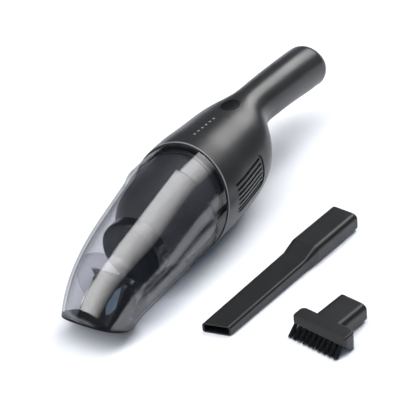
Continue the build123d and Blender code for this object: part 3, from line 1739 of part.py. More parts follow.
with BuildPart() as battery_leads:
    add(
        wire(
            [
                cell_point(contact_lead_x, -contact_rise, cradle_stop + slip_gap),
                cell_point(contact_lead_x, -contact_rise, lead_stop),
                *lead_along_cells(1),
            ]
        )
    )
    contact_lead = cell_point(-contact_lead_x / 2, -contact_rise, cradle_start - slip_gap)
    add(
        wire(
            [
                contact_lead,
                (contact_lead[0], board_lead_place, contact_lead[2]),
                (contact_lead[0], board_lead_place, board_pad_height),
            ]
        )
    )
save(battery_leads, "battery_leads")

port_board_front = port_front - port_board_overlap
with BuildPart() as charge_leads:
    add(
        wire(
            [
                (
                    -port_board_width / 3,
                    port_board_front + 2 * wire_radius,
                    port_board_top + wire_radius,
                ),
                *lead_along_cells(-1),
            ]
        )
    )
save(charge_leads, "charge_leads")

lamp_lead_place = lamp_middle + lamp_strip_length / 2 - 2 * wire_radius
lamp_lead_height -= lamp_board_thickness + wire_radius
board_front_place = board_start + board_post_margin + 2 * wire_radius
with BuildPart() as lamp_leads:
    for lead_x in (-wire_radius * 2, wire_radius * 2):
        add(
            wire(
                [
                    (lead_x, lamp_lead_place, lamp_lead_height),
                    (lead_x, lamp_lead_place, lamp_lead_height - lead_inset),
                    (lead_x, board_front_place, board_top + lead_inset),
                    (lead_x, board_front_place, board_top + slip_gap),
                ]
            )
        )
save(lamp_leads, "lamp_leads")
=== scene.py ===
import math

import bpy
from mathutils import Matrix, Vector


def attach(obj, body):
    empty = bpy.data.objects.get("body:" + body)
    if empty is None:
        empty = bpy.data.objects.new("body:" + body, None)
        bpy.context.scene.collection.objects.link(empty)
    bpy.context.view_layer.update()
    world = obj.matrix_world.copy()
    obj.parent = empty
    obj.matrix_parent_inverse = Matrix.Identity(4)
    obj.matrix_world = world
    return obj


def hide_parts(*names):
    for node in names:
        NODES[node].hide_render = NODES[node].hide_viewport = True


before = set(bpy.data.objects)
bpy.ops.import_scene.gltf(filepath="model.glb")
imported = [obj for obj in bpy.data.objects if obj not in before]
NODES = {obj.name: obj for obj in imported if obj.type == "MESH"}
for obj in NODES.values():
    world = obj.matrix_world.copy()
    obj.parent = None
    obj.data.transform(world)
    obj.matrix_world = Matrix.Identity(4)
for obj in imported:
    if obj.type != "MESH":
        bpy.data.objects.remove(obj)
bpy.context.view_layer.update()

bl_info = {
    "name": "Car vacuum cleaner",
    "version": (1, 0, 0),
    "blender": (4, 5, 0),
    "location": "3D View > Sidebar > Vacuum",
    "description": "Finishes, bristles and studio for a hand-held car vacuum cleaner and its tools",
    "category": "Object",
}

MM = 0.001
# The sensor's width, in the millimetres that Blender takes for it
SENSOR_WIDTH = 36
# How far the camera sees, in metres
FARTHEST_VIEW = 20


# Small helpers


def linear(hex_colour):
    """Linear red, green, blue and alpha of an sRGB hex colour."""
    channels = [int(hex_colour[place : place + 2], 16) / 255 for place in (1, 3, 5)]
    levels = [c / 12.92 if c <= 0.04045 else ((c + 0.055) / 1.055) ** 2.4 for c in channels]
    return (*levels, 1.0)


def add_node(tree, kind, inputs=None, **settings):
    """Adds a node; an input is a plain value, or a (node, output name) pair to link from."""
    node = tree.nodes.new(kind)
    for name, value in settings.items():
        setattr(node, name, value)
    for socket, value in (inputs or {}).items():
        if isinstance(value, tuple) and isinstance(value[0], bpy.types.Node):
            tree.links.new(value[0].outputs[value[1]], node.inputs[socket])
        else:
            node.inputs[socket].default_value = value
    return node


def new_material(name):
    """An empty node material and its tree."""
    material = bpy.data.materials.new(name)
    material.use_nodes = True
    material.node_tree.nodes.clear()
    return material, material.node_tree


def close_material(tree, shader, output="BSDF"):
    """Ends a material's tree with the given shader."""
    add_node(tree, "ShaderNodeOutputMaterial", {"Surface": (shader, output)})


def dress(material, *names):
    """Gives the named CAD nodes one material."""
    for name in names:
        for slot in NODES[name].material_slots:
            slot.material = material


def place_points(tree, stretch=(1, 1, 1)):
    """Object coordinates, stretched for a pattern."""
    coordinates = add_node(tree, "ShaderNodeTexCoord")
    return add_node(
        tree, "ShaderNodeMapping", {"Vector": (coordinates, "Object"), "Scale": stretch}
    )


# Finishes


def moulded(name, colour, roughness, grain, depth, ior=1.49, mottle=0.12, specular=0.5):
    """Injection-moulded plastic or rubber: the mould's fine grain breaks up the highlights.

    Grain and depth are the width and height of the grain in metres. Mottle is how much the
    colour drifts over a few centimetres; the roughness drifts with it by a fixed share.
    """
    drift_length = 28 * MM
    roughness_drift = 0.08
    material, tree = new_material(name)
    points = place_points(tree)
    base = linear(colour)
    paler = tuple(min(1.0, channel * (1 + mottle)) for channel in base[:3]) + (1.0,)
    fine = add_node(
        tree,
        "ShaderNodeTexNoise",
        {"Vector": (points, "Vector"), "Scale": 1 / grain, "Detail": 3.0, "Roughness": 0.6},
    )
    broad = add_node(
        tree,
        "ShaderNodeTexNoise",
        {"Vector": (points, "Vector"), "Scale": 1 / drift_length, "Detail": 2.0},
    )
    tone = add_node(
        tree,
        "ShaderNodeMix",
        {0: (broad, "Fac"), 6: base, 7: paler},
        data_type="RGBA",
    )
    gloss = add_node(
        tree,
        "ShaderNodeMapRange",
        {
            "Value": (broad, "Fac"),
            "From Min": 0.3,
            "From Max": 0.7,
            "To Min": roughness * (1 - roughness_drift),
            "To Max": roughness * (1 + roughness_drift),
        },
    )
    bump = add_node(
        tree,
        "ShaderNodeBump",
        {"Height": (fine, "Fac"), "Strength": 0.6, "Distance": depth},
    )
    shader = add_node(
        tree,
        "ShaderNodeBsdfPrincipled",
        {
            "Base Color": (tone, 2),
            "Roughness": (gloss, "Result"),
            "Normal": (bump, "Normal"),
            "IOR": ior,
            "Specular IOR Level": specular,
        },
    )
    close_material(tree, shader)
    return material


def paint_rim_highlight(material, colour, origin, normal, width):
    """Paints a highlight on the rim: a lighter ring, whose middle lies its width behind the rim's
    plane, stands in for the light that the rim's chamfer catches.
    """
    tree = material.node_tree
    shader = next(node for node in tree.nodes if node.type == "BSDF_PRINCIPLED")
    coordinates = add_node(tree, "ShaderNodeTexCoord")
    from_origin = add_node(
        tree,
        "ShaderNodeVectorMath",
        {0: (coordinates, "Object"), 1: origin},
        operation="SUBTRACT",
    )
    depth = add_node(
        tree,
        "ShaderNodeVectorMath",
        {0: (from_origin, "Vector"), 1: normal},
        operation="DOT_PRODUCT",
    )
    ring = add_node(
        tree,
        "ShaderNodeMath",
        {0: (depth, "Value"), 1: -width, 2: width / 2},
        operation="COMPARE",
    )
    base = shader.inputs["Base Color"].links[0].from_socket
    # Painted highlight: the ring gets the lighter rim colour over the shell's own tone.
    tone = add_node(
        tree, "ShaderNodeMix", {0: (ring, "Value"), 7: linear(colour)}, data_type="RGBA"
    )
    tree.links.new(base, tone.inputs[6])
    tree.links.new(tone.outputs[2], shader.inputs["Base Color"])


def worked_metal(name, colour, roughness, line, along):
    """Metal with the fine lines that drawing, turning or rolling leaves along one direction.

    Line is the spacing of the lines in metres, along stretches the pattern per axis.
    """
    shade_in_line = 0.78
    roughness_drift = 0.2
    line_depth = 0.1 * line
    material, tree = new_material(name)
    points = place_points(tree, stretch=tuple(1 / value for value in along))
    base = linear(colour)
    darker = tuple(channel * shade_in_line for channel in base[:3]) + (1.0,)
    lines = add_node(
        tree,
        "ShaderNodeTexNoise",
        {"Vector": (points, "Vector"), "Scale": 1 / line, "Detail": 2.0},
    )
    tone = add_node(
        tree, "ShaderNodeMix", {0: (lines, "Fac"), 6: base, 7: darker}, data_type="RGBA"
    )
    gloss = add_node(
        tree,
        "ShaderNodeMapRange",
        {
            "Value": (lines, "Fac"),
            "To Min": roughness * (1 - roughness_drift),
            "To Max": roughness * (1 + roughness_drift),
        },
    )
    bump = add_node(
        tree,
        "ShaderNodeBump",
        {"Height": (lines, "Fac"), "Strength": 0.4, "Distance": line_depth},
    )
    shader = add_node(
        tree,
        "ShaderNodeBsdfPrincipled",
        {
            "Base Color": (tone, 2),
            "Metallic": 1.0,
            "Roughness": (gloss, "Result"),
            "Normal": (bump, "Normal"),
        },
    )
    close_material(tree, shader)
    return material


def clear_polycarbonate(name, face_tint, edge_tint, roughness):
    """Polished smoky polycarbonate: clear face on, dark where the view runs along the wall.

    The tints are what the wall lets through. How fast it turns from the face tint to the edge
    tint, and how its share of mirrored light rises, are set by the two falloffs.
    """
    tint_falloff = 3.6
    mirror_falloff = 5.0
    mirror_share_face_on = 0.065
    mirror_rise_share = 0.28
    # Slow waves of a moulded wall
    wave_length = 20 * MM
    wave_depth = 0.12 * MM
    material, tree = new_material(name)
    points = place_points(tree)
    weight = add_node(tree, "ShaderNodeLayerWeight", {"Blend": 0.5})
    edge = add_node(
        tree,
        "ShaderNodeMath",
        {0: (weight, "Facing"), 1: tint_falloff},
        operation="POWER",
    )
    tint = add_node(
        tree,
        "ShaderNodeMix",
        {0: (edge, "Value"), 6: linear(face_tint), 7: linear(edge_tint)},
        data_type="RGBA",
    )
    passing = add_node(tree, "ShaderNodeBsdfTransparent", {"Color": (tint, 2)})
    waves = add_node(
        tree,
        "ShaderNodeTexNoise",
        {"Vector": (points, "Vector"), "Scale": 1 / wave_length, "Detail": 1.0},
    )
    bump = add_node(
        tree,
        "ShaderNodeBump",
        {"Height": (waves, "Fac"), "Strength": 0.25, "Distance": wave_depth},
    )
    mirror = add_node(
        tree,
        "ShaderNodeBsdfAnisotropic",
        {"Color": (1.0, 1.0, 1.0, 1.0), "Roughness": roughness, "Normal": (bump, "Normal")},
    )
    steep = add_node(
        tree,
        "ShaderNodeMath",
        {0: (weight, "Facing"), 1: mirror_falloff},
        operation="POWER",
    )
    share = add_node(
        tree,
        "ShaderNodeMath",
        {0: (steep, "Value"), 1: mirror_rise_share, 2: mirror_share_face_on},
        operation="MULTIPLY_ADD",
    )
    wall = add_node(
        tree,
        "ShaderNodeMixShader",
        {0: (share, "Value"), 1: (passing, "BSDF"), 2: (mirror, "BSDF")},
    )
    close_material(tree, wall, "Shader")
    return material


def woven_mesh(name, colour, gap_shade_colour, thread, axis_height, radius):
    """Woven nylon gauze: a grid of threads with a slight sheen, over painted shade in its gaps.

    Thread is the pitch of the threads, radius and axis_height are those of the sleeve that
    they run round, all in metres.
    """
    speck_size = 1.4 * thread
    weave_depth = 0.35 * thread
    material, tree = new_material(name)
    points = place_points(tree)
    parts = add_node(tree, "ShaderNodeSeparateXYZ", {"Vector": (points, "Vector")})
    across = add_node(
        tree, "ShaderNodeMath", {0: (parts, "Z"), 1: -axis_height}, operation="ADD"
    )
    turn = add_node(
        tree, "ShaderNodeMath", {0: (parts, "X"), 1: (across, "Value")}, operation="ARCTAN2"
    )
    # Threads round the sleeve, and threads along it
    rings = add_node(
        tree,
        "ShaderNodeMath",
        {0: (parts, "Y"), 1: 2 * math.pi / thread},
        operation="MULTIPLY",
    )
    runs = add_node(
        tree,
        "ShaderNodeMath",
        {0: (turn, "Value"), 1: round(2 * math.pi * radius / thread)},
        operation="MULTIPLY",
    )
    ring_wave = add_node(tree, "ShaderNodeMath", {0: (rings, "Value")}, operation="SINE")
    run_wave = add_node(tree, "ShaderNodeMath", {0: (runs, "Value")}, operation="SINE")
    weave = add_node(
        tree,
        "ShaderNodeMath",
        {0: (ring_wave, "Value"), 1: (run_wave, "Value")},
        operation="MULTIPLY",
    )
    speck = add_node(
        tree,
        "ShaderNodeTexNoise",
        {"Vector": (points, "Vector"), "Scale": 1 / speck_size, "Detail": 2.0},
    )
    level = add_node(
        tree,
        "ShaderNodeMapRange",
        {"Value": (weave, "Value"), "From Min": -1.0, "From Max": 1.0},
    )
    blend = add_node(
        tree,
        "ShaderNodeMath",
        {0: (level, "Result"), 1: (speck, "Fac")},
        operation="MULTIPLY",
    )
    # Painted shade: where the weave and the speck run low, the gaps get the near-black gap colour,
    # for the shaded inside between the threads.
    tone = add_node(
        tree,
        "ShaderNodeMix",
        {0: (blend, "Value"), 6: linear(gap_shade_colour), 7: linear(colour)},
        data_type="RGBA",
    )
    bump = add_node(
        tree,
        "ShaderNodeBump",
        {"Height": (blend, "Value"), "Strength": 0.8, "Distance": weave_depth},
    )
    shader = add_node(
        tree,
        "ShaderNodeBsdfPrincipled",
        {
            "Base Color": (tone, 2),
            "Roughness": 0.42,
            "Normal": (bump, "Normal"),
            "IOR": 1.53,
            "Sheen Weight": 0.15,
        },
    )
    close_material(tree, shader)
    return material


# Sizes and colours


class VacuumColours(bpy.types.PropertyGroup):
    """Colours of the main finishes, as sRGB hex."""

    shell: bpy.props.StringProperty(
        name="Shell", description="Satin graphite of the housing", default="#272728"
    )
    # The rim colour is a painted highlight: a lighter ring for the light that the rim's chamfer
    # catches, not a polish of its own.
    rim: bpy.props.StringProperty(
        name="Rim", description="Polished ring at the housing's front rim", default="#808083"
    )
    button: bpy.props.StringProperty(
        name="Button", description="Black of the power button", default="#070708"
    )
    gloss: bpy.props.StringProperty(
        name="Gloss black", description="Black of the duct and the filter cap", default="#0b0b0c"
    )
    tool: bpy.props.StringProperty(
        name="Tools", description="Black of the crevice and brush tools", default="#161617"
    )
    gauze: bpy.props.StringProperty(
        name="Filter gauze", description="Thread colour of the filter sleeve", default="#4a4a4e"
    )
    # The gap colour is painted shade: near black for the shaded inside seen between the threads.
    gauze_gap_shade: bpy.props.StringProperty(
        name="Gauze gaps", description="Dark between the sleeve's threads", default="#060607"
    )
    smoke: bpy.props.StringProperty(
        name="Cup", description="What the cup's wall lets through face on", default="#f3f3f5"
    )
    smoke_edge: bpy.props.StringProperty(
        name="Cup edge", description="What it lets through at a grazing view", default="#26262a"
    )


class FinishSizes(bpy.types.PropertyGroup):
    """Places and sizes that the finishes follow."""

    rim_place: bpy.props.FloatVectorProperty(
        name="Rim place", description="Middle of the housing's slanted front rim",
        default=(0, -25 * MM, 44 * MM), subtype="TRANSLATION",
    )
    rim_slant: bpy.props.FloatProperty(
        name="Rim slant", description="How far the rim's top leans back",
        default=math.radians(18), subtype="ANGLE",
    )
    # This is the width of the painted highlight ring at the rim.
    rim_width: bpy.props.FloatProperty(
        name="Rim width", description="Width of the polished ring", default=0.6 * MM,
        unit="LENGTH",
    )
    gauze_thread: bpy.props.FloatProperty(
        name="Gauze thread", description="Pitch of the sleeve's threads", default=0.9 * MM,
        unit="LENGTH",
    )
    sleeve_height: bpy.props.FloatProperty(
        name="Sleeve height", description="Height of the sleeve's axis", default=43.3 * MM,
        unit="LENGTH",
    )
    sleeve_radius: bpy.props.FloatProperty(
        name="Sleeve radius", description="Radius on which the threads have their pitch",
        default=36 * MM, unit="LENGTH",
    )


class BristleSizes(bpy.types.PropertyGroup):
    """Sizes of the brush tool's bristle field."""

    columns: bpy.props.IntProperty(
        name="Columns", description="Tufts in the first row", default=10, min=1
    )
    rows: bpy.props.IntProperty(name="Rows", description="Rows of tufts", default=2, min=1)
    pitch: bpy.props.FloatProperty(
        name="Pitch", description="Distance between tufts", default=4.6 * MM, unit="LENGTH"
    )
    row_pitch: bpy.props.FloatProperty(
        name="Row pitch", description="Distance between rows", default=2.9 * MM, unit="LENGTH"
    )
    first_row: bpy.props.FloatProperty(
        name="First row", description="First row below the face's top edge", default=1.7 * MM,
        unit="LENGTH",
    )
    strands: bpy.props.IntProperty(
        name="Strands", description="Strands in a tuft", default=64, min=1
    )
    tuft_radius: bpy.props.FloatProperty(
        name="Tuft radius", description="Radius of a tuft at its root", default=1.55 * MM,
        unit="LENGTH",
    )
    strand_radius: bpy.props.FloatProperty(
        name="Strand radius", description="Radius of a strand at its root", default=0.16 * MM,
        unit="LENGTH",
    )
    splay: bpy.props.FloatProperty(
        name="Splay", description="Sideways run of an outer strand over its length", default=0.05
    )
    face_height: bpy.props.FloatProperty(
        name="Face height", description="Height of the face's top edge", default=9.8 * MM,
        unit="LENGTH",
    )
    face_reach: bpy.props.FloatProperty(
        name="Face reach", description="How far the face's top edge leads", default=1.8 * MM,
        unit="LENGTH",
    )
    face_angle: bpy.props.FloatProperty(
        name="Face angle", description="Slope of the face under the level",
        default=math.radians(43), subtype="ANGLE",
    )
    brush_place: bpy.props.FloatVectorProperty(
        name="Brush place", description="Middle of the brush's front edge on the ground",
        default=(154.4 * MM, -90.8 * MM, 0), subtype="TRANSLATION",
    )
    brush_lean: bpy.props.FloatProperty(
        name="Brush lean", description="How far the brush is turned clockwise",
        default=math.radians(12), subtype="ANGLE",
    )
    tip_share: bpy.props.FloatProperty(
        name="Tip", description="Share of the strand's radius left at its tip", default=0.55
    )
    least_reach: bpy.props.FloatProperty(
        name="Least reach", description="Share of its way down that a worn strand takes",
        default=0.86,
    )
    most_reach: bpy.props.FloatProperty(
        name="Most reach", description="Share of its way down that a long strand takes",
        default=0.92,
    )
    drift: bpy.props.FloatProperty(
        name="Drift", description="Sideways run of a strand's own lean over its length",
        default=0.035,
    )
    seed: bpy.props.IntProperty(name="Seed", description="Seed of the strands' drift", default=7)


class StudioSizes(bpy.types.PropertyGroup):
    """Camera and light of the studio."""

    camera_place: bpy.props.FloatVectorProperty(
        name="Camera", description="Place of the camera", default=(0.5461, -0.8144, 0.6739),
        subtype="TRANSLATION",
    )
    camera_right: bpy.props.FloatVectorProperty(
        name="Camera right", description="Direction to the picture's right",
        default=(0.8602, 0.5041, -0.0789), subtype="DIRECTION",
    )
    camera_up: bpy.props.FloatVectorProperty(
        name="Camera up", description="Direction to the picture's top",
        default=(-0.2249, 0.5134, 0.8283), subtype="DIRECTION",
    )
    lens: bpy.props.FloatProperty(
        name="Lens", description="Focal length of the camera", default=125.5,
        subtype="DISTANCE_CAMERA",
    )
    panel_width: bpy.props.FloatProperty(
        name="Panel width", description="Width of the overhead softbox", default=1.7,
        unit="LENGTH",
    )
    panel_radiance: bpy.props.FloatProperty(
        name="Panel radiance", description="Radiance of the overhead softbox", default=4.5
    )
    rear_radiance: bpy.props.FloatProperty(
        name="Rear radiance", description="Radiance of the softbox behind the handle",
        default=10.0,
    )
    fill_radiance: bpy.props.FloatProperty(
        name="Fill radiance", description="Radiance of the fill beside the camera", default=1.2
    )
    fill_colour: bpy.props.StringProperty(
        name="Fill colour", description="Cool light of the fill", default="#bcd8fb"
    )
    air_colour: bpy.props.StringProperty(
        name="Air colour", description="Light that comes from all round", default="#c6d6ec"
    )
    air_strength: bpy.props.FloatProperty(
        name="Air strength", description="Strength of the light from all round", default=0.13
    )
    floor_colour: bpy.props.StringProperty(
        name="Floor colour", description="White of the paper floor", default="#f4f6fa"
    )
    floor_size: bpy.props.FloatProperty(
        name="Floor", description="Width of the floor", default=8.0, unit="LENGTH"
    )


# Operators


class VACUUM_OT_housing(bpy.types.Operator):
    """Finishes the housing, its button, lamps, screws and charge port"""

    bl_idname = "vacuum.housing"
    bl_label = "Housing"

    def execute(self, context):
        colours, sizes = context.scene.vacuum_colours, context.scene.vacuum_finishes
        # Satin ABS: one broad soft highlight with a fine dry grain
        shell = moulded(
            "satin_graphite_abs", colours.shell, 0.31, 0.35 * MM, 0.012 * MM, 1.5, specular=0.3
        )
        forward = (0, -math.cos(sizes.rim_slant), math.sin(sizes.rim_slant))
        # Painted highlight: a lighter ring on the rim's chamfer, for the light that it catches.
        paint_rim_highlight(shell, colours.rim, tuple(sizes.rim_place), forward, sizes.rim_width)
        dress(shell, "housing_shell", "handle_cover")
        # Soft-touch button cap, darker and a little rougher than the shell
        button = moulded(
            "button_soft_touch", colours.button, 0.42, 0.3 * MM, 0.01 * MM, specular=0.2
        )
        dress(button, "power_button")
        # Frosted light guide of the charge lamps
        lens = moulded("frosted_lamp_acrylic", "#8a8a8e", 0.35, 0.2 * MM, 0.005 * MM)
        dress(lens, "lamp_strip")
        # Zinc-plated pan-head screws
        screws = worked_metal("zinc_plated_steel", "#b9babd", 0.30, 0.25 * MM, (4, 4, 1))
        dress(screws, "cover_screws", "bulkhead_screws", "board_screws", "motor_screws")
        # Deep-drawn nickel-plated socket
        socket = worked_metal("nickel_plated_socket", "#a5a29b", 0.28, 0.2 * MM, (1, 12, 1))
        dress(socket, "charge_port", "cell_contacts")
        return {"FINISHED"}


class VACUUM_OT_cup(bpy.types.Operator):
    """Finishes the dust cup with its seal, inlet duct, chamber wall and flap"""

    bl_idname = "vacuum.cup"
    bl_label = "Dust cup"

    def execute(self, context):
        colours = context.scene.vacuum_colours
        # Polished smoky polycarbonate of the cup and of the wall inside it
        cup = clear_polycarbonate("smoky_polycarbonate", colours.smoke, colours.smoke_edge, 0.05)
        dress(cup, "dust_cup", "chamber_wall")
        # Gloss ABS from a polished mould
        cap = moulded("gloss_black_abs", colours.gloss, 0.16, 1.2 * MM, 0.004 * MM, 1.52)
        dress(cap, "filter_cap")
        # The same ABS, less shiny, so that the duct's lip stays black at the mouth
        duct = moulded(
            "duct_black_abs", colours.gloss, 0.24, 1.2 * MM, 0.004 * MM, 1.52, specular=0.15
        )
        dress(duct, "inlet_duct", "socket_ribs")
        # Smooth moulded rubber flap
        flap = moulded("inlet_flap_rubber", "#1c1c1e", 0.45, 0.6 * MM, 0.008 * MM)
        dress(flap, "inlet_flap")
        # Soft seals: matt, slightly dusty rubber
        rubber = moulded("moulded_nitrile_rubber", "#161617", 0.62, 0.25 * MM, 0.015 * MM)
        dress(rubber, "cup_seal", "filter_seal", "button_dome")
        # Ground steel, with its lines along the flap's pin
        pin = worked_metal("ground_steel_pin", "#c2c3c6", 0.22, 0.1 * MM, (20, 1, 1))
        dress(pin, "flap_pin", "motor_shaft")
        return {"FINISHED"}


class VACUUM_OT_filter(bpy.types.Operator):
    """Finishes the filter cartridge"""

    bl_idname = "vacuum.filter"
    bl_label = "Filter"

    def execute(self, context):
        colours, sizes = context.scene.vacuum_colours, context.scene.vacuum_finishes
        # A real gauze has about 0.15 mm threads; 0.9 mm is the finest that shows
        gauze = woven_mesh(
            "woven_nylon_gauze", colours.gauze, colours.gauze_gap_shade, sizes.gauze_thread,
            sizes.sleeve_height, sizes.sleeve_radius,
        )
        dress(gauze, "mesh_sleeve")
        # Moulded polypropylene base ring
        plate = moulded("filter_plate_pp", "#202022", 0.34, 0.5 * MM, 0.01 * MM)
        dress(plate, "filter_plate")
        # Pleated filter paper: chalky fibres
        paper = moulded("pleated_filter_paper", "#d8d4c8", 0.85, 0.18 * MM, 0.03 * MM)
        dress(paper, "pleated_filter")
        return {"FINISHED"}


class VACUUM_OT_machine(bpy.types.Operator):
    """Finishes the bulkhead, fan, motor, battery, boards and wires"""

    bl_idname = "vacuum.machine"
    bl_label = "Machine"

    def execute(self, context):
        finishes = (
            # Moulded polypropylene with the mould's fine grain
            (moulded("bulkhead_pp", "#1e1e20", 0.36, 0.5 * MM, 0.01 * MM),
             ("bulkhead", "cell_cradle", "motor_ring")),
            # Nylon with short glass fibres in its skin
            (moulded("glass_filled_nylon", "#8a8a88", 0.45, 0.25 * MM, 0.02 * MM),
             ("fan_shroud", "fan", "motor_endcap", "power_switch")),
            # Open foam: deep pores
            (moulded("open_cell_foam", "#2c2c2c", 0.95, 0.7 * MM, 0.4 * MM, mottle=0.5),
             ("exhaust_foam",)),
            # Zinc-plated sheet, drawn along the motor
            (worked_metal("deep_drawn_motor_can", "#a9abae", 0.26, 0.3 * MM, (1, 14, 1)),
             ("motor_can",)),
            # Pressed and sintered bronze: an even speckle
            (worked_metal("sintered_bronze", "#8a6a42", 0.42, 0.2 * MM, (1, 1, 1)),
             ("front_bearing", "rear_bearing")),
            # Stamped sheets in a stack: lines across the shaft
            (worked_metal("stacked_core_sheet", "#6d6f73", 0.45, 0.5 * MM, (40, 1, 40)),
             ("rotor_core",)),
            # Copper wire under clear enamel, and bare copper of the same hue
            (worked_metal("enamelled_copper_wire", "#a85a2a", 0.28, 0.4 * MM, (1, 12, 1)),
             ("rotor_winding", "commutator", "motor_terminals")),
            # Pressed ferrite and carbon: matt and nearly black
            (moulded("sintered_ferrite", "#2b2b2d", 0.62, 0.3 * MM, 0.02 * MM, 2.2),
             ("motor_magnets", "motor_brushes")),
            # Printed solder mask over glass cloth
            (moulded("solder_mask_board", "#16402a", 0.32, 0.8 * MM, 0.01 * MM, 1.55),
             ("circuit_board", "lamp_board", "port_board")),
            # Shrunk sleeve of the cells
            (moulded("shrink_wrapped_cell", "#2f5f9a", 0.28, 1.5 * MM, 0.01 * MM),
             ("battery_cell_1", "battery_cell_2")),
            # Extruded insulation of the wires
            (moulded("red_wire_pvc", "#8c1c1a", 0.38, 0.4 * MM, 0.01 * MM),
             ("motor_leads", "battery_leads")),
            (moulded("white_wire_pvc", "#c9c9c4", 0.38, 0.4 * MM, 0.01 * MM),
             ("charge_leads", "lamp_leads")),
        )
        for material, names in finishes:
            dress(material, *names)
        return {"FINISHED"}


class VACUUM_OT_tools(bpy.types.Operator):
    """Finishes the crevice tool and the brush tool's body"""

    bl_idname = "vacuum.tools"
    bl_label = "Tools"

    def execute(self, context):
        colours = context.scene.vacuum_colours
        # Spark-eroded polypropylene: an even satin black
        tool = moulded(
            "spark_eroded_pp", colours.tool, 0.36, 0.45 * MM, 0.02 * MM, specular=0.4
        )
        dress(tool, "crevice_tool", "brush_body")
        return {"FINISHED"}


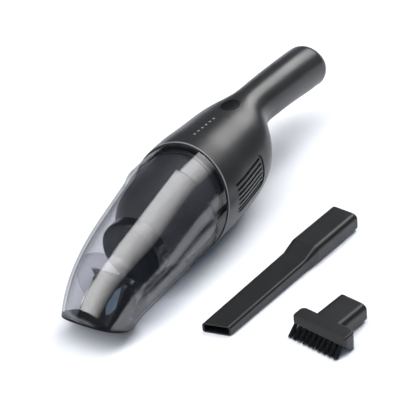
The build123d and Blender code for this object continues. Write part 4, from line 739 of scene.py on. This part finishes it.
def bristle_tree():
    """Geometry nodes: tufts of tapered strands in rows, each nearly as long as its way down."""
    strand_sides = 5
    tree = bpy.data.node_groups.new("bristle_field", "GeometryNodeTree")
    sockets = {}
    for name, kind in (
        ("Columns", "Int"), ("Rows", "Int"), ("Pitch", "Float"), ("Row Pitch", "Float"),
        ("First Row", "Float"), ("Strands", "Int"), ("Tuft Radius", "Float"),
        ("Strand Radius", "Float"), ("Tip Share", "Float"), ("Splay", "Float"),
        ("Drift", "Float"), ("Least Reach", "Float"), ("Most Reach", "Float"),
        ("Face Height", "Float"), ("Face Angle", "Float"), ("Seed", "Int"),
        ("Material", "Material"),
    ):
        sockets[name] = tree.interface.new_socket(
            name=name, in_out="INPUT", socket_type=f"NodeSocket{kind}"
        )
    tree.interface.new_socket(name="Geometry", in_out="OUTPUT", socket_type="NodeSocketGeometry")
    given = add_node(tree, "NodeGroupInput")

    def number(operation, *values):
        inputs = dict(enumerate(values))
        return (add_node(tree, "ShaderNodeMath", inputs, operation=operation), 0)

    columns, rows = (given, "Columns"), (given, "Rows")
    tufts = number("MULTIPLY", columns, rows)
    count = number("MULTIPLY", tufts, (given, "Strands"))
    index = (add_node(tree, "GeometryNodeInputIndex"), 0)
    strand = number("FLOORED_MODULO", index, (given, "Strands"))
    tuft = number("FLOOR", number("DIVIDE", index, (given, "Strands")))
    column = number("FLOORED_MODULO", tuft, columns)
    row = number("FLOOR", number("DIVIDE", tuft, columns))
    # Odd rows stand half a pitch over
    shift = number("MULTIPLY", number("FLOORED_MODULO", row, 2.0), 0.5)
    last = number("SUBTRACT", columns, 1.0)
    middle = number("MULTIPLY", last, 0.5)
    tuft_x = number(
        "MULTIPLY", number("SUBTRACT", number("ADD", column, shift), middle), (given, "Pitch")
    )
    row_down = number("MULTIPLY_ADD", row, (given, "Row Pitch"), (given, "First Row"))
    # Strands fill the tuft on a sunflower spiral, each a golden angle on from the last
    golden_angle = math.pi * (3 - math.sqrt(5))
    turn = number("MULTIPLY", strand, golden_angle)
    fill = number("DIVIDE", number("ADD", strand, 0.5), (given, "Strands"))
    radius = number("MULTIPLY", number("SQRT", fill), (given, "Tuft Radius"))
    side = number("MULTIPLY", radius, number("COSINE", turn))
    rise = number("MULTIPLY", radius, number("SINE", turn))
    down = number("SUBTRACT", row_down, rise)
    place = add_node(
        tree,
        "ShaderNodeCombineXYZ",
        {"X": number("ADD", tuft_x, side), "Y": number("MULTIPLY", down, -1.0)},
    )
    points = add_node(
        tree, "GeometryNodePoints", {"Count": count, "Position": (place, "Vector")}
    )
    # The last tuft of an odd row would leave the face, so it is dropped
    in_odd_row = number("GREATER_THAN", shift, 0.2)
    in_last_column = number("GREATER_THAN", column, number("SUBTRACT", last, 0.5))
    beyond = number("MULTIPLY", in_odd_row, in_last_column)
    kept = add_node(
        tree,
        "GeometryNodeDeleteGeometry",
        {"Geometry": (points, 0), "Selection": beyond},
    )
    # Each strand leans out from its tuft's middle, with a small drift of its own
    far = (given, "Drift")
    back = number("MULTIPLY", far, -1.0)
    lowest = add_node(tree, "ShaderNodeCombineXYZ", {"X": back, "Y": back})
    highest = add_node(tree, "ShaderNodeCombineXYZ", {"X": far, "Y": far})
    drift = add_node(
        tree,
        "FunctionNodeRandomValue",
        {0: (lowest, "Vector"), 1: (highest, "Vector"), "Seed": (given, "Seed")},
        data_type="FLOAT_VECTOR",
    )
    lean = number("DIVIDE", (given, "Splay"), (given, "Tuft Radius"))
    outward = add_node(
        tree,
        "ShaderNodeCombineXYZ",
        {"X": number("MULTIPLY", side, lean), "Y": number("MULTIPLY", rise, lean), "Z": 1.0},
    )
    aim = add_node(
        tree,
        "ShaderNodeVectorMath",
        {0: (outward, "Vector"), 1: (drift, 0)},
        operation="ADD",
    )
    turned = add_node(
        tree,
        "FunctionNodeAlignRotationToVector",
        {"Vector": (aim, "Vector")},
        axis="Z",
    )
    sine = number("SINE", (given, "Face Angle"))
    cosine = number("COSINE", (given, "Face Angle"))
    root_height = number("SUBTRACT", (given, "Face Height"), number("MULTIPLY", down, sine))
    reach = add_node(
        tree,
        "FunctionNodeRandomValue",
        {2: (given, "Least Reach"), 3: (given, "Most Reach"), "Seed": (given, "Seed")},
        data_type="FLOAT",
    )
    length = number("MULTIPLY", number("DIVIDE", root_height, cosine), (reach, 1))
    stretch = add_node(tree, "ShaderNodeCombineXYZ", {"X": 1.0, "Y": 1.0, "Z": length})
    cone = add_node(
        tree,
        "GeometryNodeMeshCone",
        {
            "Vertices": strand_sides,
            "Side Segments": 1,
            "Radius Top": number("MULTIPLY", (given, "Strand Radius"), (given, "Tip Share")),
            "Radius Bottom": (given, "Strand Radius"),
            "Depth": 1.0,
        },
        fill_type="NGON",
    )
    strands = add_node(
        tree,
        "GeometryNodeInstanceOnPoints",
        {
            "Points": (kept, 0),
            "Instance": (cone, "Mesh"),
            "Rotation": (turned, "Rotation"),
            "Scale": (stretch, "Vector"),
        },
    )
    solid = add_node(tree, "GeometryNodeRealizeInstances", {"Geometry": (strands, "Instances")})
    finished = add_node(
        tree,
        "GeometryNodeSetMaterial",
        {"Geometry": (solid, "Geometry"), "Material": (given, "Material")},
    )
    add_node(tree, "NodeGroupOutput", {"Geometry": (finished, "Geometry")})
    return tree, {name: socket.identifier for name, socket in sockets.items()}


class VACUUM_OT_bristles(bpy.types.Operator):
    """Builds the brush tool's bristles in tufts"""

    bl_idname = "vacuum.bristles"
    bl_label = "Bristles"

    def execute(self, context):
        sizes = context.scene.vacuum_bristles
        # Extruded nylon filament: near black with a slight gloss
        nylon = moulded("extruded_nylon_filament", "#151516", 0.34, 0.4 * MM, 0.005 * MM, 1.53)
        tree, identifiers = bristle_tree()
        holder = bpy.data.objects.new("bristle_holder", bpy.data.meshes.new("bristle_holder"))
        context.scene.collection.objects.link(holder)
        modifier = holder.modifiers.new("bristles", "NODES")
        modifier.node_group = tree
        for name, value in (
            ("Columns", sizes.columns), ("Rows", sizes.rows), ("Pitch", sizes.pitch),
            ("Row Pitch", sizes.row_pitch), ("First Row", sizes.first_row),
            ("Strands", sizes.strands), ("Tuft Radius", sizes.tuft_radius),
            ("Strand Radius", sizes.strand_radius), ("Tip Share", sizes.tip_share),
            ("Splay", sizes.splay), ("Drift", sizes.drift),
            ("Least Reach", sizes.least_reach), ("Most Reach", sizes.most_reach),
            ("Face Height", sizes.face_height), ("Face Angle", sizes.face_angle),
            ("Seed", sizes.seed), ("Material", nylon),
        ):
            modifier[identifiers[name]] = value
        evaluated = holder.evaluated_get(context.evaluated_depsgraph_get())
        mesh = bpy.data.meshes.new_from_object(evaluated)
        bpy.data.objects.remove(holder)
        if not mesh.polygons:
            raise RuntimeError("the bristle field came out empty")
        # The face's own directions: across the brush, and out along its strands
        across = Vector((math.cos(sizes.brush_lean), -math.sin(sizes.brush_lean), 0))
        along = Vector((math.sin(sizes.brush_lean), math.cos(sizes.brush_lean), 0))
        outward = -along * math.sin(sizes.face_angle) - Vector((0, 0, math.cos(sizes.face_angle)))
        origin = Vector(sizes.brush_place) - along * sizes.face_reach
        origin.z += sizes.face_height
        turn = Matrix((across, outward.cross(across), outward)).transposed().to_4x4()
        mesh.transform(Matrix.Translation(origin) @ turn)
        bristles = bpy.data.objects.new("bristles", mesh)
        context.scene.collection.objects.link(bristles)
        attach(bristles, "brush")
        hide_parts("brush_bristles")
        return {"FINISHED"}


def soft_light(context, name, place, aim, size, radiance, colour="#ffffff"):
    """A rectangular softbox that shines along aim, with its width level.

    Its power follows from its size and the radiance asked for.
    """
    lamp = bpy.data.lights.new(name, "AREA")
    lamp.shape = "RECTANGLE"
    lamp.size, lamp.size_y = size
    lamp.energy = radiance * math.pi * size[0] * size[1]
    lamp.color = linear(colour)[:3]
    holder = bpy.data.objects.new(name, lamp)
    holder.location = place
    holder.rotation_euler = Vector(aim).to_track_quat("-Z", "Y").to_euler()
    context.scene.collection.objects.link(holder)


def overhead_panel(context, sizes):
    """A long softbox over the machine: full bright from its left edge on, fading to its right.

    Its left edge bends where the reflected edge on the cup asks for it, and its front end
    comes down before the nozzle.
    """
    # The left edge, from the far end to the near one, in metres
    left_edge = ((-0.10, 2.3, 1.5), (-0.14, 0.45, 1.5), (-0.90, -0.86, 1.5), (-1.98, -2.9, 0.75))
    # Shares of the width from the left, each with its share of the light
    fade_shares = ((0.0, 1.0), (0.25, 0.95), (0.5, 0.6), (0.75, 0.25), (1.0, 0.0))
    points = [
        (x + sizes.panel_width * share, y, z) for x, y, z in left_edge for share, _ in fade_shares
    ]
    wide = len(fade_shares)
    faces = [
        (start + 1, start, start + wide, start + wide + 1)
        for row in range(len(left_edge) - 1)
        for start in range(row * wide, row * wide + wide - 1)
    ]
    mesh = bpy.data.meshes.new("overhead_panel")
    mesh.from_pydata(points, [], faces)
    level = mesh.attributes.new("level", "FLOAT", "POINT")
    level.data.foreach_set("value", [light for _ in left_edge for _, light in fade_shares])
    # Diffuser cloth of the softbox
    cloth, tree = new_material("softbox_cloth")
    shade = add_node(tree, "ShaderNodeAttribute", attribute_name="level")
    strength = add_node(
        tree,
        "ShaderNodeMath",
        {0: (shade, "Fac"), 1: sizes.panel_radiance},
        operation="MULTIPLY",
    )
    glow = add_node(tree, "ShaderNodeEmission", {"Strength": (strength, "Value")})
    close_material(tree, glow, "Emission")
    mesh.materials.append(cloth)
    panel = bpy.data.objects.new("overhead_panel", mesh)
    context.scene.collection.objects.link(panel)


class VACUUM_OT_stage(bpy.types.Operator):
    """Sets the floor, the soft studio light and the camera"""

    bl_idname = "vacuum.stage"
    bl_label = "Stage"

    def execute(self, context):
        sizes = context.scene.vacuum_studio
        half = sizes.floor_size / 2
        mesh = bpy.data.meshes.new("floor")
        corners = [(-half, -half, 0), (half, -half, 0), (half, half, 0), (-half, half, 0)]
        mesh.from_pydata(corners, [], [(0, 1, 2, 3)])
        floor = bpy.data.objects.new("floor", mesh)
        context.scene.collection.objects.link(floor)
        # Matt white paper sweep
        paper = moulded(
            "white_paper_sweep", sizes.floor_colour, 0.9, 1.0 * MM, 0.01 * MM, mottle=0.0
        )
        mesh.materials.append(paper)

        world = bpy.data.worlds.new("studio_air")
        context.scene.world = world
        world.use_nodes = True
        air = world.node_tree.nodes["Background"]
        air.inputs["Color"].default_value = linear(sizes.air_colour)
        air.inputs["Strength"].default_value = sizes.air_strength

        overhead_panel(context, sizes)
        # Behind the handle, for the housing's broad highlight
        soft_light(
            context, "rear_box", place=(0.1, 1.95, 1.15), aim=(-0.04, -0.86, -0.5),
            size=(1.0, 0.5), radiance=sizes.rear_radiance,
        )
        # Beside the camera, to open the shadows
        soft_light(
            context, "fill_box", place=(1.1, -1.7, 1.5), aim=(-0.45, 0.68, -0.58),
            size=(1.6, 1.2), radiance=sizes.fill_radiance, colour=sizes.fill_colour,
        )

        camera = bpy.data.objects.new("camera", bpy.data.cameras.new("camera"))
        right, up = Vector(sizes.camera_right), Vector(sizes.camera_up)
        back = right.cross(up).normalized()
        up = back.cross(right).normalized()
        turn = Matrix((right.normalized(), up, back)).transposed()
        camera.matrix_world = Matrix.Translation(sizes.camera_place) @ turn.to_4x4()
        camera.data.lens = sizes.lens
        camera.data.sensor_width = SENSOR_WIDTH
        camera.data.clip_end = FARTHEST_VIEW
        context.scene.collection.objects.link(camera)
        context.scene.camera = camera
        context.scene.view_settings.view_transform = "Standard"
        return {"FINISHED"}


class VACUUM_PT_panel(bpy.types.Panel):
    """Lists the steps that dress the vacuum cleaner"""

    bl_idname = "VACUUM_PT_panel"
    bl_label = "Vacuum cleaner"
    bl_space_type = "VIEW_3D"
    bl_region_type = "UI"
    bl_category = "Vacuum"

    def draw(self, context):
        for group in SCENE_GROUPS:
            settings = getattr(context.scene, group)
            box = self.layout.box()
            for name in settings.bl_rna.properties.keys():
                if name not in ("rna_type", "name"):
                    box.prop(settings, name)
        for operator in OPERATORS:
            self.layout.operator(operator.bl_idname)


OPERATORS = (
    VACUUM_OT_housing,
    VACUUM_OT_cup,
    VACUUM_OT_filter,
    VACUUM_OT_machine,
    VACUUM_OT_tools,
    VACUUM_OT_bristles,
    VACUUM_OT_stage,
)
SCENE_GROUPS = {
    "vacuum_colours": VacuumColours,
    "vacuum_finishes": FinishSizes,
    "vacuum_bristles": BristleSizes,
    "vacuum_studio": StudioSizes,
}


def register():
    """Registers the classes and hangs the colours and sizes on the scene."""
    for item in (*SCENE_GROUPS.values(), *OPERATORS, VACUUM_PT_panel):
        bpy.utils.register_class(item)
    for name, group in SCENE_GROUPS.items():
        setattr(bpy.types.Scene, name, bpy.props.PointerProperty(type=group))


def unregister():
    """Takes the colours, the sizes and the classes out again."""
    for name in SCENE_GROUPS:
        delattr(bpy.types.Scene, name)
    for item in (VACUUM_PT_panel, *reversed(OPERATORS), *SCENE_GROUPS.values()):
        bpy.utils.unregister_class(item)


def main():
    """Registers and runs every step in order."""
    register()
    bpy.ops.vacuum.housing()
    bpy.ops.vacuum.cup()
    bpy.ops.vacuum.filter()
    bpy.ops.vacuum.machine()
    bpy.ops.vacuum.tools()
    bpy.ops.vacuum.bristles()
    bpy.ops.vacuum.stage()


if __name__ == "__main__":
    main()
